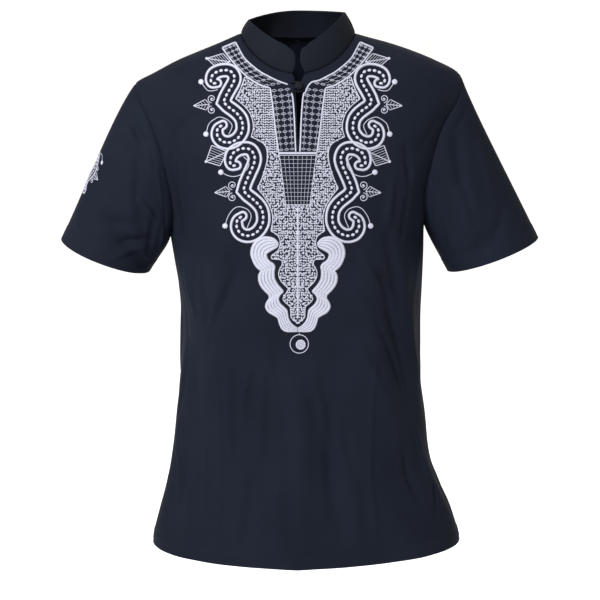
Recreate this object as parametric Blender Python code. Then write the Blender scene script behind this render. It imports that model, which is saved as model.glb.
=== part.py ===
"""Short-sleeved pullover shirt with a stand collar, a neck slit and side vents, filled out as worn.

Metres, +Z up, +X to the right of someone who faces the front, and the front faces -Y.
The origin is midway between the two points where the shoulder seams meet the collar.

The body is one surface, torso_point(angle, height, face): at each height a rounded ring whose
half widths and depths come from TORSO_ROWS. Front and back are cut from it along the side seams,
the shoulder seams, the armholes and the neckline, and each sleeve runs from its armhole to its
cuff. Every cut piece is then given the cloth's thickness, with a small gap at each seam.
"""

import math

import bmesh
import bpy
import numpy as np
from mathutils import Matrix, Vector

# Cloth
CLOTH = 0.002
SEAM_GAP = 0.0003
FRONT, BACK = -1, 1
LEFT, RIGHT = -1, 1

# Half widths to the left and right, depths to the front and back, and how square the ring is.
# Rows from the hem to the neck; between the armpit and the shoulder tip the width is that of
# the body under the sleeve.
TORSO_ROWS = (
    # height, left, right, front, back, square
    (-0.775, 0.219, 0.247, 0.134, 0.126, 0.10),
    (-0.740, 0.215, 0.240, 0.132, 0.123, 0.12),
    (-0.696, 0.204, 0.226, 0.128, 0.119, 0.15),
    (-0.660, 0.194, 0.210, 0.124, 0.115, 0.18),
    (-0.624, 0.186, 0.196, 0.121, 0.111, 0.21),
    (-0.569, 0.180, 0.189, 0.118, 0.107, 0.24),
    (-0.497, 0.173, 0.181, 0.116, 0.103, 0.26),
    (-0.407, 0.169, 0.180, 0.118, 0.106, 0.26),
    (-0.354, 0.177, 0.182, 0.123, 0.113, 0.25),
    (-0.287, 0.187, 0.184, 0.128, 0.123, 0.24),
    (-0.240, 0.199, 0.195, 0.128, 0.126, 0.20),
    (-0.180, 0.215, 0.213, 0.123, 0.124, 0.14),
    (-0.125, 0.231, 0.231, 0.111, 0.116, 0.08),
    (-0.090, 0.240, 0.243, 0.098, 0.107, 0.04),
    (-0.073, 0.235, 0.242, 0.090, 0.101, 0.02),
    (-0.056, 0.207, 0.231, 0.081, 0.094, 0.00),
    (-0.039, 0.175, 0.200, 0.069, 0.087, 0.00),
    (-0.022, 0.134, 0.158, 0.053, 0.078, 0.00),
    (-0.013, 0.112, 0.130, 0.043, 0.072, 0.00),
    (-0.005, 0.094, 0.100, 0.032, 0.064, 0.00),
    (0.000, 0.0825, 0.0825, 0.022, 0.058, 0.00),
)

# Neck
NECK_HALF_WIDTH = 0.0825
NECK_DROP = {FRONT: 0.055, BACK: 0.008}
NECK_CURVE = {FRONT: 1.5, BACK: 1.0}
SLIT_EDGES = (
    # height, left edge, right edge
    (-0.155, 0.0000, 0.0000),
    (-0.130, -0.0008, 0.0024),
    (-0.104, -0.0018, 0.0045),
    (-0.083, -0.0029, 0.0060),
    (-0.067, -0.0034, 0.0045),
    (-0.055, -0.0076, 0.0104),
)

# Hem, side vents and armholes; the angle runs round the body, 0 at the centre front or back
HEM_CENTRE = -0.7625
HEM_SIDE = {LEFT: -0.750, RIGHT: -0.746}
VENT_TOP = -0.640
VENT_HALF_ANGLE = math.radians(4.0)
ARMPIT = {LEFT: -0.292, RIGHT: -0.278}
SHOULDER_TIP = {LEFT: -0.073, RIGHT: -0.062}
ARMHOLE_REACH = {FRONT: math.radians(26.0), BACK: math.radians(25.0)}
ARMHOLE_ROUNDNESS = 0.85
ROW_AT_ARMPIT = {FRONT: -0.232, BACK: -0.250}

# Sleeves: the cuff's outer and inner ends as seen from the front, and its half depth
CUFF_OUTER = {LEFT: (-0.346, 0.0, -0.298), RIGHT: (0.351, 0.0, -0.296)}
CUFF_INNER = {LEFT: (-0.217, 0.0, -0.345), RIGHT: (0.219, 0.0, -0.345)}
CUFF_HALF_DEPTH = 0.064
CUFF_FRONT_DROOP = {LEFT: 0.008, RIGHT: 0.004}
# How the cloth sets off from the armhole: outward, forward or back, down, and how firmly
SLEEVE_START = {
    "left top": (0.62, 0.00, -0.78, 0.60),
    "right top": (0.33, 0.00, -0.94, 0.55),
    "front": (0.62, -0.40, -0.68, 0.60),
    "left under": (0.15, 0.00, -0.99, 0.85),
    "right under": (0.30, 0.00, -0.95, 0.70),
    "back": (0.62, 0.40, -0.68, 0.60),
}

# Collar: its upper edge, and how far its front edge stands from the centre as it rises
COLLAR_TOP_HALF_WIDTH = {LEFT: 0.0716, RIGHT: 0.0683}
COLLAR_TOP_DEPTH = {FRONT: 0.072, BACK: 0.058}
COLLAR_FRONT_HEIGHT = {LEFT: -0.0197, RIGHT: -0.0172}
COLLAR_SIDE_HEIGHT = {LEFT: 0.0192, RIGHT: 0.0298}
COLLAR_BACK_HEIGHT = 0.032
COLLAR_TOP_CURVE = {FRONT: 1.5, BACK: 2.0}
COLLAR_BOW = 0.0015
COLLAR_FRONT_EDGES = (
    # share of the height, left edge, right edge
    (0.00, -0.0076, 0.0104),
    (0.25, -0.0042, 0.0059),
    (0.50, -0.0029, 0.0032),
    (0.75, -0.0040, 0.0038),
    (0.92, -0.0075, 0.0062),
    (1.00, -0.0118, 0.0108),
)

# Ball and loop that close the collar's foot
BALL_RADIUS = 0.0065
BALL_FLATNESS = 0.80
BALL_X, BALL_Z = 0.0012, -0.0745
LOOP_CORD_RADIUS = 0.0015
LOOP_BEND_RADIUS = 0.0071
LOOP_END_X = -0.0115

# Folds are straight ridges and troughs. A positive rise stands out. The width is the distance
# at which a fold has died away to its sides, and the radii and the length turn the angles and
# shares of the tables below into metres on the cloth.
FOLD_TAPER = 0.7
BODY_FOLD_RADIUS = 0.16
SLEEVE_FOLD_RADIUS = 0.064
SLEEVE_FOLD_LENGTH = 0.2
SLEEVE_FOLDS_START = 0.17

# Large folds of the body, on the ring's angle and the height
BODY_FOLDS = (
    # face, angle, height, angle, height, width, rise
    (FRONT, -70, -0.44, -77, -0.75, 0.038, 0.0060),
    (FRONT, -58, -0.46, -62, -0.75, 0.034, -0.0045),
    (FRONT, -38, -0.30, -50, -0.56, 0.038, 0.0045),
    (FRONT, -20, -0.42, -26, -0.74, 0.048, -0.0040),
    (FRONT, -4, -0.46, -2, -0.75, 0.055, 0.0055),
    (FRONT, 18, -0.44, 14, -0.73, 0.045, -0.0045),
    (FRONT, 30, -0.32, 48, -0.58, 0.040, 0.0045),
    (FRONT, 44, -0.35, 66, -0.62, 0.040, -0.0040),
    (FRONT, 50, -0.28, 76, -0.60, 0.036, 0.0050),
    (FRONT, 66, -0.62, 72, -0.75, 0.040, 0.0055),
    (FRONT, 44, -0.60, 50, -0.74, 0.045, -0.0035),
    (FRONT, -60, -0.19, -70, -0.34, 0.032, -0.0050),
    (FRONT, 60, -0.18, 70, -0.33, 0.032, -0.0050),
    (BACK, -62, -0.20, -50, -0.48, 0.045, 0.0055),
    (BACK, -40, -0.34, -34, -0.74, 0.050, -0.0050),
    (BACK, -16, -0.40, -12, -0.74, 0.055, 0.0050),
    (BACK, 8, -0.36, 12, -0.74, 0.050, -0.0050),
    (BACK, 30, -0.38, 34, -0.74, 0.055, 0.0055),
    (BACK, 62, -0.20, 52, -0.50, 0.045, 0.0050),
    (BACK, 56, -0.52, 60, -0.74, 0.045, -0.0040),
)

# Large folds of the sleeves, on the angle round the sleeve and the share of its length.
# The angle is 0 along the top, 90 at the front, 180 under the arm and 270 at the back.
SLEEVE_FOLDS = (
    # side, angle, share, angle, share, width, rise
    (LEFT, 55, 0.66, 150, 0.84, 0.018, -0.0060),
    (LEFT, 60, 0.86, 140, 0.96, 0.018, 0.0035),
    (LEFT, 52, 0.34, 108, 0.66, 0.020, 0.0050),
    (LEFT, 30, 0.06, 76, 0.30, 0.020, -0.0050),
    (LEFT, 215, 0.30, 260, 0.72, 0.028, 0.0045),
    (LEFT, 285, 0.20, 300, 0.80, 0.028, -0.0040),
    (RIGHT, 45, 0.10, 84, 0.42, 0.020, -0.0045),
    (RIGHT, 66, 0.42, 120, 0.80, 0.024, 0.0035),
    (RIGHT, 60, 0.78, 130, 0.92, 0.022, -0.0030),
    (RIGHT, 220, 0.28, 262, 0.70, 0.028, 0.0045),
    (RIGHT, 286, 0.24, 300, 0.82, 0.028, -0.0040),
)

# How many strips each stretch is divided into
ACROSS_HALF = 13
UP_SIDE = 17
UP_ARMHOLE = 16
UP_NECKLINE = 8
ALONG_SLEEVE = 12
UP_COLLAR = 5
ROUND_BALL, UP_BALL = 16, 10
LOOP_STRAIGHT_POINTS = 5
LOOP_BEND_STEPS = 12

# Each piece's rim is drawn into the piece by this much, which leaves SEAM_GAP after the walls'
# own slant. Pieces whose surfaces turn by more than the sharp corner keep their own normals.
RIM_INSET = SEAM_GAP * 0.62
SHARP_CORNER = 35.0
SHARP_CORNER_BLEND = 20.0

# Colours, roughness
CLOTH_COLOUR = (0.014, 0.017, 0.026, 1.0)
COLLAR_COLOUR = (0.013, 0.015, 0.021, 1.0)
CLOTH_ROUGHNESS = 0.62


def smooth_columns(rows, at):
    """The later columns of rows where the first has these values, on smooth curves without overshoot."""
    table = np.array(rows, float)
    x, y = table[:, 0], table[:, 1:]
    step = np.diff(x)[:, None]
    slope = np.diff(y, axis=0) / step
    before, after = slope[:-1], slope[1:]
    same_way = before * after > 0
    safe = np.where(same_way, before + after, 1.0)
    tangent = np.zeros_like(y)
    tangent[1:-1] = np.where(same_way, 2 * before * after / safe, 0.0)
    tangent[0], tangent[-1] = slope[0], slope[-1]
    at = np.clip(np.asarray(at, float), x[0], x[-1])
    i = np.clip(np.searchsorted(x, at, side="right") - 1, 0, len(x) - 2)
    h = step[i, 0][..., None]
    t = ((at - x[i])[..., None]) / h
    return (
        y[i] * (1 + 2 * t) * (1 - t) ** 2
        + tangent[i] * h * t * (1 - t) ** 2
        + y[i + 1] * t * t * (3 - 2 * t)
        + tangent[i + 1] * h * t * t * (t - 1)
    )


def fold_rise(along, across, start, end, width, rise):
    """How far a straight fold stands out at points, in metres, rounded across and tapered at its ends."""
    run = (end[0] - start[0], end[1] - start[1])
    length = math.hypot(*run)
    side = ((along - start[0]) * run[1] - (across - start[1]) * run[0]) / length
    share = ((along - start[0]) * run[0] + (across - start[1]) * run[1]) / length**2
    section = np.cos(np.clip(side / width, -1, 1) * math.pi / 2) ** 2
    taper = np.sin(np.clip(share, 0, 1) * math.pi) ** FOLD_TAPER
    return rise * section * taper


def torso_point(angle, height, face):
    """Points on the body's outer surface: angle 0 at the centre, -90 or 90 degrees at the side seams."""
    left, right, front, back, square = np.moveaxis(smooth_columns(TORSO_ROWS, height), -1, 0)
    half_width = np.where(angle < 0, left, right)
    depth = front if face == FRONT else back
    sine, cosine = np.sin(angle), np.cos(angle)
    x = half_width * sine
    y = face * depth * cosine * (1 + square * sine**2)
    rise = np.zeros_like(x)
    for where, angle_a, z_a, angle_b, z_b, width, amount in BODY_FOLDS:
        if where == face:
            start = (math.radians(angle_a) * BODY_FOLD_RADIUS, z_a)
            end = (math.radians(angle_b) * BODY_FOLD_RADIUS, z_b)
            rise += fold_rise(angle * BODY_FOLD_RADIUS, height, start, end, width, amount)
    return np.stack([x + rise * sine, y + face * rise * cosine, height], axis=-1)


def shoulder_width(side, height):
    """Half width of the body at a height, on one side."""
    return smooth_columns(TORSO_ROWS, height)[..., 0 if side == LEFT else 1]


def neckline_turn(count):
    """Turns along a quarter of the neckline, from the centre, 0, to the shoulder seam, a quarter turn."""
    return np.linspace(0, math.pi / 2, count + 1)


def neckline(side, face, turn):
    """Angle and height on the body of the neckline at these turns."""
    height = -NECK_DROP[face] * np.cos(turn) ** NECK_CURVE[face]
    height[-1] = 0.0
    x = NECK_HALF_WIDTH * np.sin(turn)
    if face == FRONT:
        x[0] = side * SLIT_EDGES[-1][1 if side == LEFT else 2]
    angle = np.arcsin(np.clip(x / shoulder_width(side, height), 0, 1))
    angle[-1] = math.pi / 2
    return side * angle, height


def slit(side):
    """Angle and height on the body of the slit's edge, from its bottom to just under the neckline."""
    height, left, right = np.array(SLIT_EDGES[:-1]).T
    x = left if side == LEFT else right
    return np.arcsin(x / shoulder_width(side, height)), height


def outer_boundary(side, face):
    """Angle and height up the side seam, with its vent, and round the armhole to the shoulder tip."""
    seam_height = np.linspace(HEM_SIDE[side], ARMPIT[side], UP_SIDE + 1)
    vent = np.clip((VENT_TOP - seam_height) / (VENT_TOP - HEM_SIDE[side]), 0, 1)
    seam_angle = math.pi / 2 - VENT_HALF_ANGLE * vent
    turn = np.linspace(0, math.pi, UP_ARMHOLE + 1)[1:]
    hole_angle = math.pi / 2 - ARMHOLE_REACH[face] * np.abs(np.sin(turn)) ** ARMHOLE_ROUNDNESS
    hole_angle[-1] = math.pi / 2
    rise = SHOULDER_TIP[side] - ARMPIT[side]
    hole_height = ARMPIT[side] + rise * (1 - np.cos(turn)) / 2
    return side * np.append(seam_angle, hole_angle), np.append(seam_height, hole_height)


def inner_boundary(side, face):
    """Angle and height up the centre line and the slit, then along the neckline to the shoulder seam."""
    row = ROW_AT_ARMPIT[face]
    neck_angle, neck_height = neckline(side, face, neckline_turn(UP_NECKLINE))
    centre = np.linspace(HEM_CENTRE, row, UP_SIDE + 1)
    if face == BACK:
        above = np.linspace(row, neck_height[0], UP_ARMHOLE - UP_NECKLINE + 1)[1:-1]
        return (
            np.concatenate([np.zeros(len(centre) + len(above)), neck_angle]),
            np.concatenate([centre, above, neck_height]),
        )
    slit_angle, slit_height = slit(side)
    rows_below = UP_ARMHOLE - UP_NECKLINE - len(slit_height)
    below = np.linspace(row, slit_height[0], rows_below + 1)[1:-1]
    return (
        np.concatenate([np.zeros(len(centre) + len(below)), slit_angle, neck_angle]),
        np.concatenate([centre, below, slit_height, neck_height]),
    )


def half_panel(side, face):
    """Points of half a front or back: rows from the hem up, each from the side inwards."""
    outer_angle, outer_height = outer_boundary(side, face)
    inner_angle, inner_height = inner_boundary(side, face)
    share = np.linspace(0, 1, ACROSS_HALF + 1)
    angle = outer_angle[:, None] * (1 - share) + inner_angle[:, None] * share
    height = outer_height[:, None] * (1 - share) + inner_height[:, None] * share
    return torso_point(angle, height, face)


def armhole_loop(panels, side):
    """The armhole's points, from the shoulder tip down the front to the armpit and up the back."""
    front = panels[side, FRONT][UP_SIDE:, 0][::-1]
    back = panels[side, BACK][UP_SIDE:, 0]
    return np.concatenate([front, back[1:-1]])


def cuff_ring(side, turn):
    """Points round the cuff, from its outer end by way of the front."""
    outer, inner = np.array(CUFF_OUTER[side]), np.array(CUFF_INNER[side])
    middle, half = (outer + inner) / 2, (outer - inner) / 2
    forward = np.array([0.0, -CUFF_HALF_DEPTH, -CUFF_FRONT_DROOP[side]])
    return middle + np.cos(turn)[:, None] * half + np.sin(turn)[:, None] * forward


def sleeve_start(side, turn, length):
    """Direction and firmness with which the cloth leaves the armhole, blended round it."""
    rows = {name: np.array(row) for name, row in SLEEVE_START.items()}
    word = "left" if side == LEFT else "right"
    cosine, sine = np.cos(turn)[:, None], np.sin(turn)[:, None]
    ends = np.where(cosine > 0, rows[word + " top"], rows[word + " under"])
    sides = np.where(sine > 0, rows["front"], rows["back"])
    blend = cosine**2 * ends + sine**2 * sides
    direction = blend[:, :3] * (side, 1, 1)
    return direction * blend[:, 3:] * length


def sleeve(side, loop):
    """Points of a sleeve: rings from the armhole to the cuff."""
    closed = np.vstack([loop, loop[:1]])
    steps = np.linalg.norm(np.diff(closed, axis=0), axis=1)
    under = len(loop) // 2
    run = np.append(0, np.cumsum(steps))
    down = run[: under + 1] / run[under] * math.pi
    up = math.pi + (run[under:] - run[under]) / (run[-1] - run[under]) * math.pi
    turn = np.append(down, up[1:-1])
    cuff = cuff_ring(side, turn)
    chord = cuff - loop
    length = np.linalg.norm(chord, axis=1)[:, None]
    start = sleeve_start(side, turn, length)
    middle = cuff.mean(axis=0)
    rings = []
    for share in np.linspace(0, 1, ALONG_SLEEVE + 1):
        ease = share * share * (3 - 2 * share) + share * share * (share - 1)
        ring = loop + chord * ease + start * share * (1 - share) ** 2
        centre = loop.mean(axis=0) * (1 - share) + middle * share
        outward = ring - centre
        outward /= np.linalg.norm(outward, axis=1)[:, None]
        rise = np.zeros(len(turn))
        for where, angle_a, share_a, angle_b, share_b, width, amount in SLEEVE_FOLDS:
            if where == side:
                start_at = (math.radians(angle_a) * SLEEVE_FOLD_RADIUS, share_a * SLEEVE_FOLD_LENGTH)
                end_at = (math.radians(angle_b) * SLEEVE_FOLD_RADIUS, share_b * SLEEVE_FOLD_LENGTH)
                here = (turn * SLEEVE_FOLD_RADIUS, share * SLEEVE_FOLD_LENGTH)
                rise += fold_rise(*here, start_at, end_at, width, amount)
        fade = min(1.0, share / SLEEVE_FOLDS_START)
        rings.append(ring + outward * (rise * fade)[:, None])
    return np.array(rings)


def collar_quarter(panels, side, face):
    """Points of a quarter of the collar: rows upwards, each from the centre to the shoulder seam."""
    foot = panels[side, face][-UP_NECKLINE - 1 :, -1]
    turn = neckline_turn(UP_NECKLINE)
    sine = np.sin(turn)
    x = side * COLLAR_TOP_HALF_WIDTH[side] * sine
    y = face * COLLAR_TOP_DEPTH[face] * np.cos(turn)
    side_height = COLLAR_SIDE_HEIGHT[side]
    centre_height = COLLAR_FRONT_HEIGHT[side] if face == FRONT else COLLAR_BACK_HEIGHT
    z = centre_height + (side_height - centre_height) * sine ** COLLAR_TOP_CURVE[face]
    top = np.stack([x, y, z], axis=-1)
    outward = np.stack([side * sine, face * np.cos(turn), np.zeros_like(turn)], axis=-1)
    share = np.linspace(0, 1, UP_COLLAR + 1)
    rows = [
        foot * (1 - s) + top * s + outward * COLLAR_BOW * math.sin(math.pi * s) for s in share
    ]
    grid = np.array(rows)
    if face == FRONT:
        grid[:, 0, 0] = smooth_columns(COLLAR_FRONT_EDGES, share)[:, 0 if side == LEFT else 1]
    return grid


def grid_faces(points, closed=False, flip=False):
    """Corner indices of the faces of a grid of points."""
    rows, columns = points.shape[:2]
    last = columns if closed else columns - 1
    faces = []
    for i in range(rows - 1):
        for j in range(last):
            k = (j + 1) % columns
            face = [i * columns + j, i * columns + k, (i + 1) * columns + k, (i + 1) * columns + j]
            faces.append(face[::-1] if flip else face)
    return faces


def joined(grids):
    """One surface from several grids, each (points, closed, flip), with the points they share made one."""
    points, faces, known = [], [], {}
    for grid, closed, flip in grids:
        flat = grid.reshape(-1, 3)
        index = []
        for point in flat:
            key = tuple(np.round(point * 1e6).astype(int))
            if key not in known:
                known[key] = len(points)
                points.append(point)
            index.append(known[key])
        for face in grid_faces(grid, closed, flip):
            corners = list(dict.fromkeys(index[c] for c in face))
            if len(corners) > 2:
                faces.append(corners)
    return np.array(points), faces


def face_vectors(points, faces):
    """Each face's normal, as long as its area."""
    vectors = []
    for face in faces:
        a, b, c = (points[face[i]] for i in (0, 1, 2))
        d = points[face[3]] if len(face) == 4 else c
        vectors.append(0.5 * np.cross(c - a, d - b))
    return np.array(vectors)


def vertex_sums(points, faces):
    """The sum of the face normals round each point."""
    sums = np.zeros_like(points)
    for face, vector in zip(faces, face_vectors(points, faces)):
        sums[face] += vector
    return sums


def unit(vectors):
    """The vectors at length 1."""
    return vectors / np.maximum(np.linalg.norm(vectors, axis=-1, keepdims=True), 1e-12)


def seam_normals(surfaces):
    """Normals for every surface's points.

    Pieces that meet at a seam share theirs, so that their cut edges lie side by side, except in
    a sharp inner corner such as the armpit, where each keeps its own.
    """
    shared = {}
    own = {name: vertex_sums(points, faces) for name, (points, faces) in surfaces.items()}
    keys = {
        name: [tuple(k) for k in np.round(points * 1e6).astype(int)]
        for name, (points, faces) in surfaces.items()
    }
    for name in surfaces:
        for key, vector in zip(keys[name], unit(own[name])):
            shared[key] = shared.get(key, 0) + vector
    normals = {}
    for name in surfaces:
        mine = unit(own[name])
        ours = unit(np.array([shared[k] for k in keys[name]]))
        apart = np.degrees(np.arccos(np.clip((mine * ours).sum(axis=1), -1, 1)))
        weight = np.clip((apart - SHARP_CORNER) / SHARP_CORNER_BLEND, 0, 1)[:, None]
        normals[name] = unit(ours * (1 - weight) + mine * weight)
    return normals


def boundary_edges(faces):
    """The directed edges that only one face has."""
    directed = {(a, b) for face in faces for a, b in zip(face, face[1:] + face[:1])}
    return sorted(edge for edge in directed if edge[::-1] not in directed)


def drawn_in(points, faces):
    """The points, with those on the boundary drawn into the piece."""
    rim = {i for edge in boundary_edges(faces) for i in edge}
    towards = np.zeros_like(points)
    for face in faces:
        middle = points[face].mean(axis=0)
        for corner in face:
            if corner in rim:
                towards[corner] += unit(middle - points[corner])
    result = points.copy()
    chosen = sorted(rim)
    result[chosen] += unit(towards[chosen]) * RIM_INSET
    return result


def cloth_object(name, surface, normals, material, collection):
    """A closed wall of cloth with this outer surface, its inner surface one thickness further in."""
    points, faces = surface
    outer = drawn_in(points, faces)
    inner = outer - normals * CLOTH
    mesh = bmesh.new()
    outer_points = [mesh.verts.new(p) for p in outer]
    inner_points = [mesh.verts.new(p) for p in inner]
    for face in faces:
        mesh.faces.new([outer_points[i] for i in face])
        mesh.faces.new([inner_points[i] for i in reversed(face)])
    for a, b in boundary_edges(faces):
        mesh.faces.new([outer_points[b], outer_points[a], inner_points[a], inner_points[b]])
    return add_mesh(name, mesh, material, collection)


def add_mesh(name, mesh, material, collection):
    """The finished mesh as an object of the collection."""
    data = bpy.data.meshes.new(name)
    mesh.to_mesh(data)
    mesh.free()
    data.shade_smooth()
    data.materials.append(material)
    item = bpy.data.objects.new(name, data)
    collection.objects.link(item)
    return item


def make_material(name, colour, roughness):
    """A plain cloth material."""
    material = bpy.data.materials.new(name)
    material.use_nodes = True
    shader = material.node_tree.nodes["Principled BSDF"]
    shader.inputs["Base Color"].default_value = colour
    shader.inputs["Roughness"].default_value = roughness
    shader.inputs["Metallic"].default_value = 0.0
    return material


def closure_frame():
    """The point of the front behind the ball, and the directions right, down the cloth and outward."""
    step = np.array([BALL_Z, BALL_Z - LOOP_BEND_RADIUS])
    here, lower = torso_point(np.zeros(2), step, FRONT)
    right = np.array([1.0, 0.0, 0.0])
    down = unit(lower - here)
    return here + right * BALL_X, right, down, np.cross(down, right)


def knot_ball(material, collection):
    """The ball: a knotted cord, as a slightly flattened sphere over the slit."""
    surface, right, down, out = closure_frame()
    centre = surface + out * (BALL_RADIUS * BALL_FLATNESS + SEAM_GAP)
    axes = Matrix((right, down, out)).transposed().to_4x4()
    flattened = Matrix.Diagonal((1.0, 1.0, BALL_FLATNESS, 1.0))
    place = Matrix.Translation(Vector(centre)) @ axes @ flattened
    mesh = bmesh.new()
    bmesh.ops.create_uvsphere(
        mesh, u_segments=ROUND_BALL, v_segments=UP_BALL, radius=BALL_RADIUS, matrix=place
    )
    bmesh.ops.recalc_face_normals(mesh, faces=mesh.faces)
    return add_mesh("knot_ball", mesh, material, collection)


def button_loop(material, collection):
    """The loop: a cord sewn to the left of the slit that passes round the ball and returns."""
    surface, right, down, out = closure_frame()
    surface = surface + out * (LOOP_CORD_RADIUS + SEAM_GAP)
    straight = np.linspace(LOOP_END_X - BALL_X, 0.0, LOOP_STRAIGHT_POINTS)
    bend = np.linspace(0, math.pi, LOOP_BEND_STEPS + 1)[1:-1]
    route = [surface + right * x - down * LOOP_BEND_RADIUS for x in straight]
    route += [
        surface + (right * math.sin(a) - down * math.cos(a)) * LOOP_BEND_RADIUS for a in bend
    ]
    route += [surface + right * x + down * LOOP_BEND_RADIUS for x in straight[::-1]]
    curve = bpy.data.curves.new("button_loop", "CURVE")
    curve.dimensions = "3D"
    curve.bevel_depth = LOOP_CORD_RADIUS
    curve.bevel_resolution = 2
    curve.use_fill_caps = True
    spline = curve.splines.new("POLY")
    spline.points.add(len(route) - 1)
    for point, place in zip(spline.points, route):
        point.co = (*place, 1.0)
    curve.materials.append(material)
    item = bpy.data.objects.new("button_loop", curve)
    collection.objects.link(item)
    return item


def shirt_surfaces():
    """Every cloth piece's outer surface as (points, faces)."""
    panels = {(s, f): half_panel(s, f) for s in (LEFT, RIGHT) for f in (FRONT, BACK)}
    surfaces = {
        "front": joined([(panels[LEFT, FRONT], False, False), (panels[RIGHT, FRONT], False, True)]),
        "back": joined([(panels[LEFT, BACK], False, True), (panels[RIGHT, BACK], False, False)]),
    }
    for side, name in ((LEFT, "sleeve_left"), (RIGHT, "sleeve_right")):
        rings = sleeve(side, armhole_loop(panels, side))
        surfaces[name] = joined([(rings, True, side == LEFT)])
    quarters = [
        (collar_quarter(panels, side, face), False, side * face > 0)
        for side in (LEFT, RIGHT)
        for face in (FRONT, BACK)
    ]
    surfaces["collar"] = joined(quarters)
    return surfaces


def main():
    for item in list(bpy.data.objects):
        bpy.data.objects.remove(item)
    collection = bpy.data.collections.new("shirt")
    bpy.context.scene.collection.children.link(collection)
    surfaces = shirt_surfaces()
    normals = seam_normals(surfaces)
    for name, surface in surfaces.items():
        colour = COLLAR_COLOUR if name == "collar" else CLOTH_COLOUR
        material = make_material(name, colour, CLOTH_ROUGHNESS)
        cloth_object(name, surface, normals[name], material, collection)
    cord = make_material("closure", COLLAR_COLOUR, CLOTH_ROUGHNESS)
    knot_ball(cord, collection)
    button_loop(cord, collection)


main()
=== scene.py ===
"""The looks of the short-sleeved shirt: fine cloth, seams, stitching, closure and embroidery.

The cloth pieces repeat the formulas and tables that the solids are made from, at a finer step
and with finer folds. The embroidery is drawn flat, in millimetres, and laid on that cloth.
"""

import math

import bmesh
import bpy
import numpy as np
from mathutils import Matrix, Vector


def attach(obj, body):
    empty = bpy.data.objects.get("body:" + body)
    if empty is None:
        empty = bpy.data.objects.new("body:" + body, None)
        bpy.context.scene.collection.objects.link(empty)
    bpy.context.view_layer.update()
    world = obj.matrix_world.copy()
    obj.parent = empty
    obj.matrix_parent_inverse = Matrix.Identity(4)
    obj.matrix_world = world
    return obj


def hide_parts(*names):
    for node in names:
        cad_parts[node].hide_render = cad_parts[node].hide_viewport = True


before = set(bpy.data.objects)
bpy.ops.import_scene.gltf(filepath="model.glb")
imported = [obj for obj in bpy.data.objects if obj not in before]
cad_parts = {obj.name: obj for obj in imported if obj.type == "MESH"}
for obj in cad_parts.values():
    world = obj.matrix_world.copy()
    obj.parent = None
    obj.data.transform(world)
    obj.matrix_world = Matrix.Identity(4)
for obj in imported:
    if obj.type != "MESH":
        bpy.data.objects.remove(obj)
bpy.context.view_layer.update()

# Cloth
CLOTH = 0.0014
COLLAR_CLOTH = 0.0019
CLOTH_COLOUR = (0.0052, 0.0067, 0.0110)
COLLAR_COLOUR = (0.0050, 0.0060, 0.0086)
CLOTH_ROUGHNESS, COLLAR_ROUGHNESS = 0.74, 0.72
WEAVE_PITCH = 0.0007
WEAVE_WOBBLE = 6.0
WEAVE_SHARE, WEAVE_BUMP, WEAVE_RELIEF = 0.35, 0.35, 0.00025
# Noises of the cloth, in waves a metre: drift of the threads, their thick places, and blotches
DRIFT_SCALE, SLUB_SCALE, BLOTCH_SCALE = 35.0, 420.0, 9.0
BLOTCH_SHADES, BLOTCH_RANGE = (0.86, 1.16), (0.3, 0.75)
FRONT, BACK = -1, 1
LEFT, RIGHT = -1, 1
FACE_NAME = {FRONT: "front", BACK: "back"}
SIDE_NAME = {LEFT: "left", RIGHT: "right"}
SIDE_COLUMN = {LEFT: 0, RIGHT: 1}

# The body's sections, from the hem to the neck: half widths to the left and right, depths to the
# front and back, and how square the ring is
TORSO_ROWS = (
    # height, left, right, front, back, square
    (-0.775, 0.219, 0.247, 0.134, 0.126, 0.10),
    (-0.740, 0.215, 0.240, 0.132, 0.123, 0.12),
    (-0.696, 0.204, 0.226, 0.128, 0.119, 0.15),
    (-0.660, 0.194, 0.210, 0.124, 0.115, 0.18),
    (-0.624, 0.186, 0.196, 0.121, 0.111, 0.21),
    (-0.569, 0.180, 0.189, 0.118, 0.107, 0.24),
    (-0.497, 0.173, 0.181, 0.116, 0.103, 0.26),
    (-0.407, 0.169, 0.180, 0.118, 0.106, 0.26),
    (-0.354, 0.177, 0.182, 0.123, 0.113, 0.25),
    (-0.287, 0.187, 0.184, 0.128, 0.123, 0.24),
    (-0.240, 0.199, 0.195, 0.128, 0.126, 0.20),
    (-0.180, 0.215, 0.213, 0.123, 0.124, 0.14),
    (-0.125, 0.231, 0.231, 0.111, 0.116, 0.08),
    (-0.090, 0.240, 0.243, 0.098, 0.107, 0.04),
    (-0.073, 0.235, 0.242, 0.090, 0.101, 0.02),
    (-0.056, 0.207, 0.231, 0.081, 0.094, 0.00),
    (-0.039, 0.175, 0.200, 0.069, 0.087, 0.00),
    (-0.022, 0.134, 0.158, 0.053, 0.078, 0.00),
    (-0.013, 0.112, 0.130, 0.043, 0.072, 0.00),
    (-0.005, 0.094, 0.100, 0.032, 0.064, 0.00),
    (0.000, 0.0825, 0.0825, 0.022, 0.058, 0.00),
)

# Neck
NECK_HALF_WIDTH = 0.0825
NECK_DROP = {FRONT: 0.055, BACK: 0.008}
NECK_CURVE = {FRONT: 1.5, BACK: 1.0}
SLIT_REACH = 0.0161
SLIT_EDGES = (
    # height, left edge, right edge
    (-0.155, 0.0000, 0.0000),
    (-0.130, -0.0008, 0.0024),
    (-0.104, -0.0018, 0.0045),
    (-0.083, -0.0029, 0.0060),
    (-0.067, -0.0034, 0.0045),
    (-0.055, -0.0076, 0.0104),
)

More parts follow.
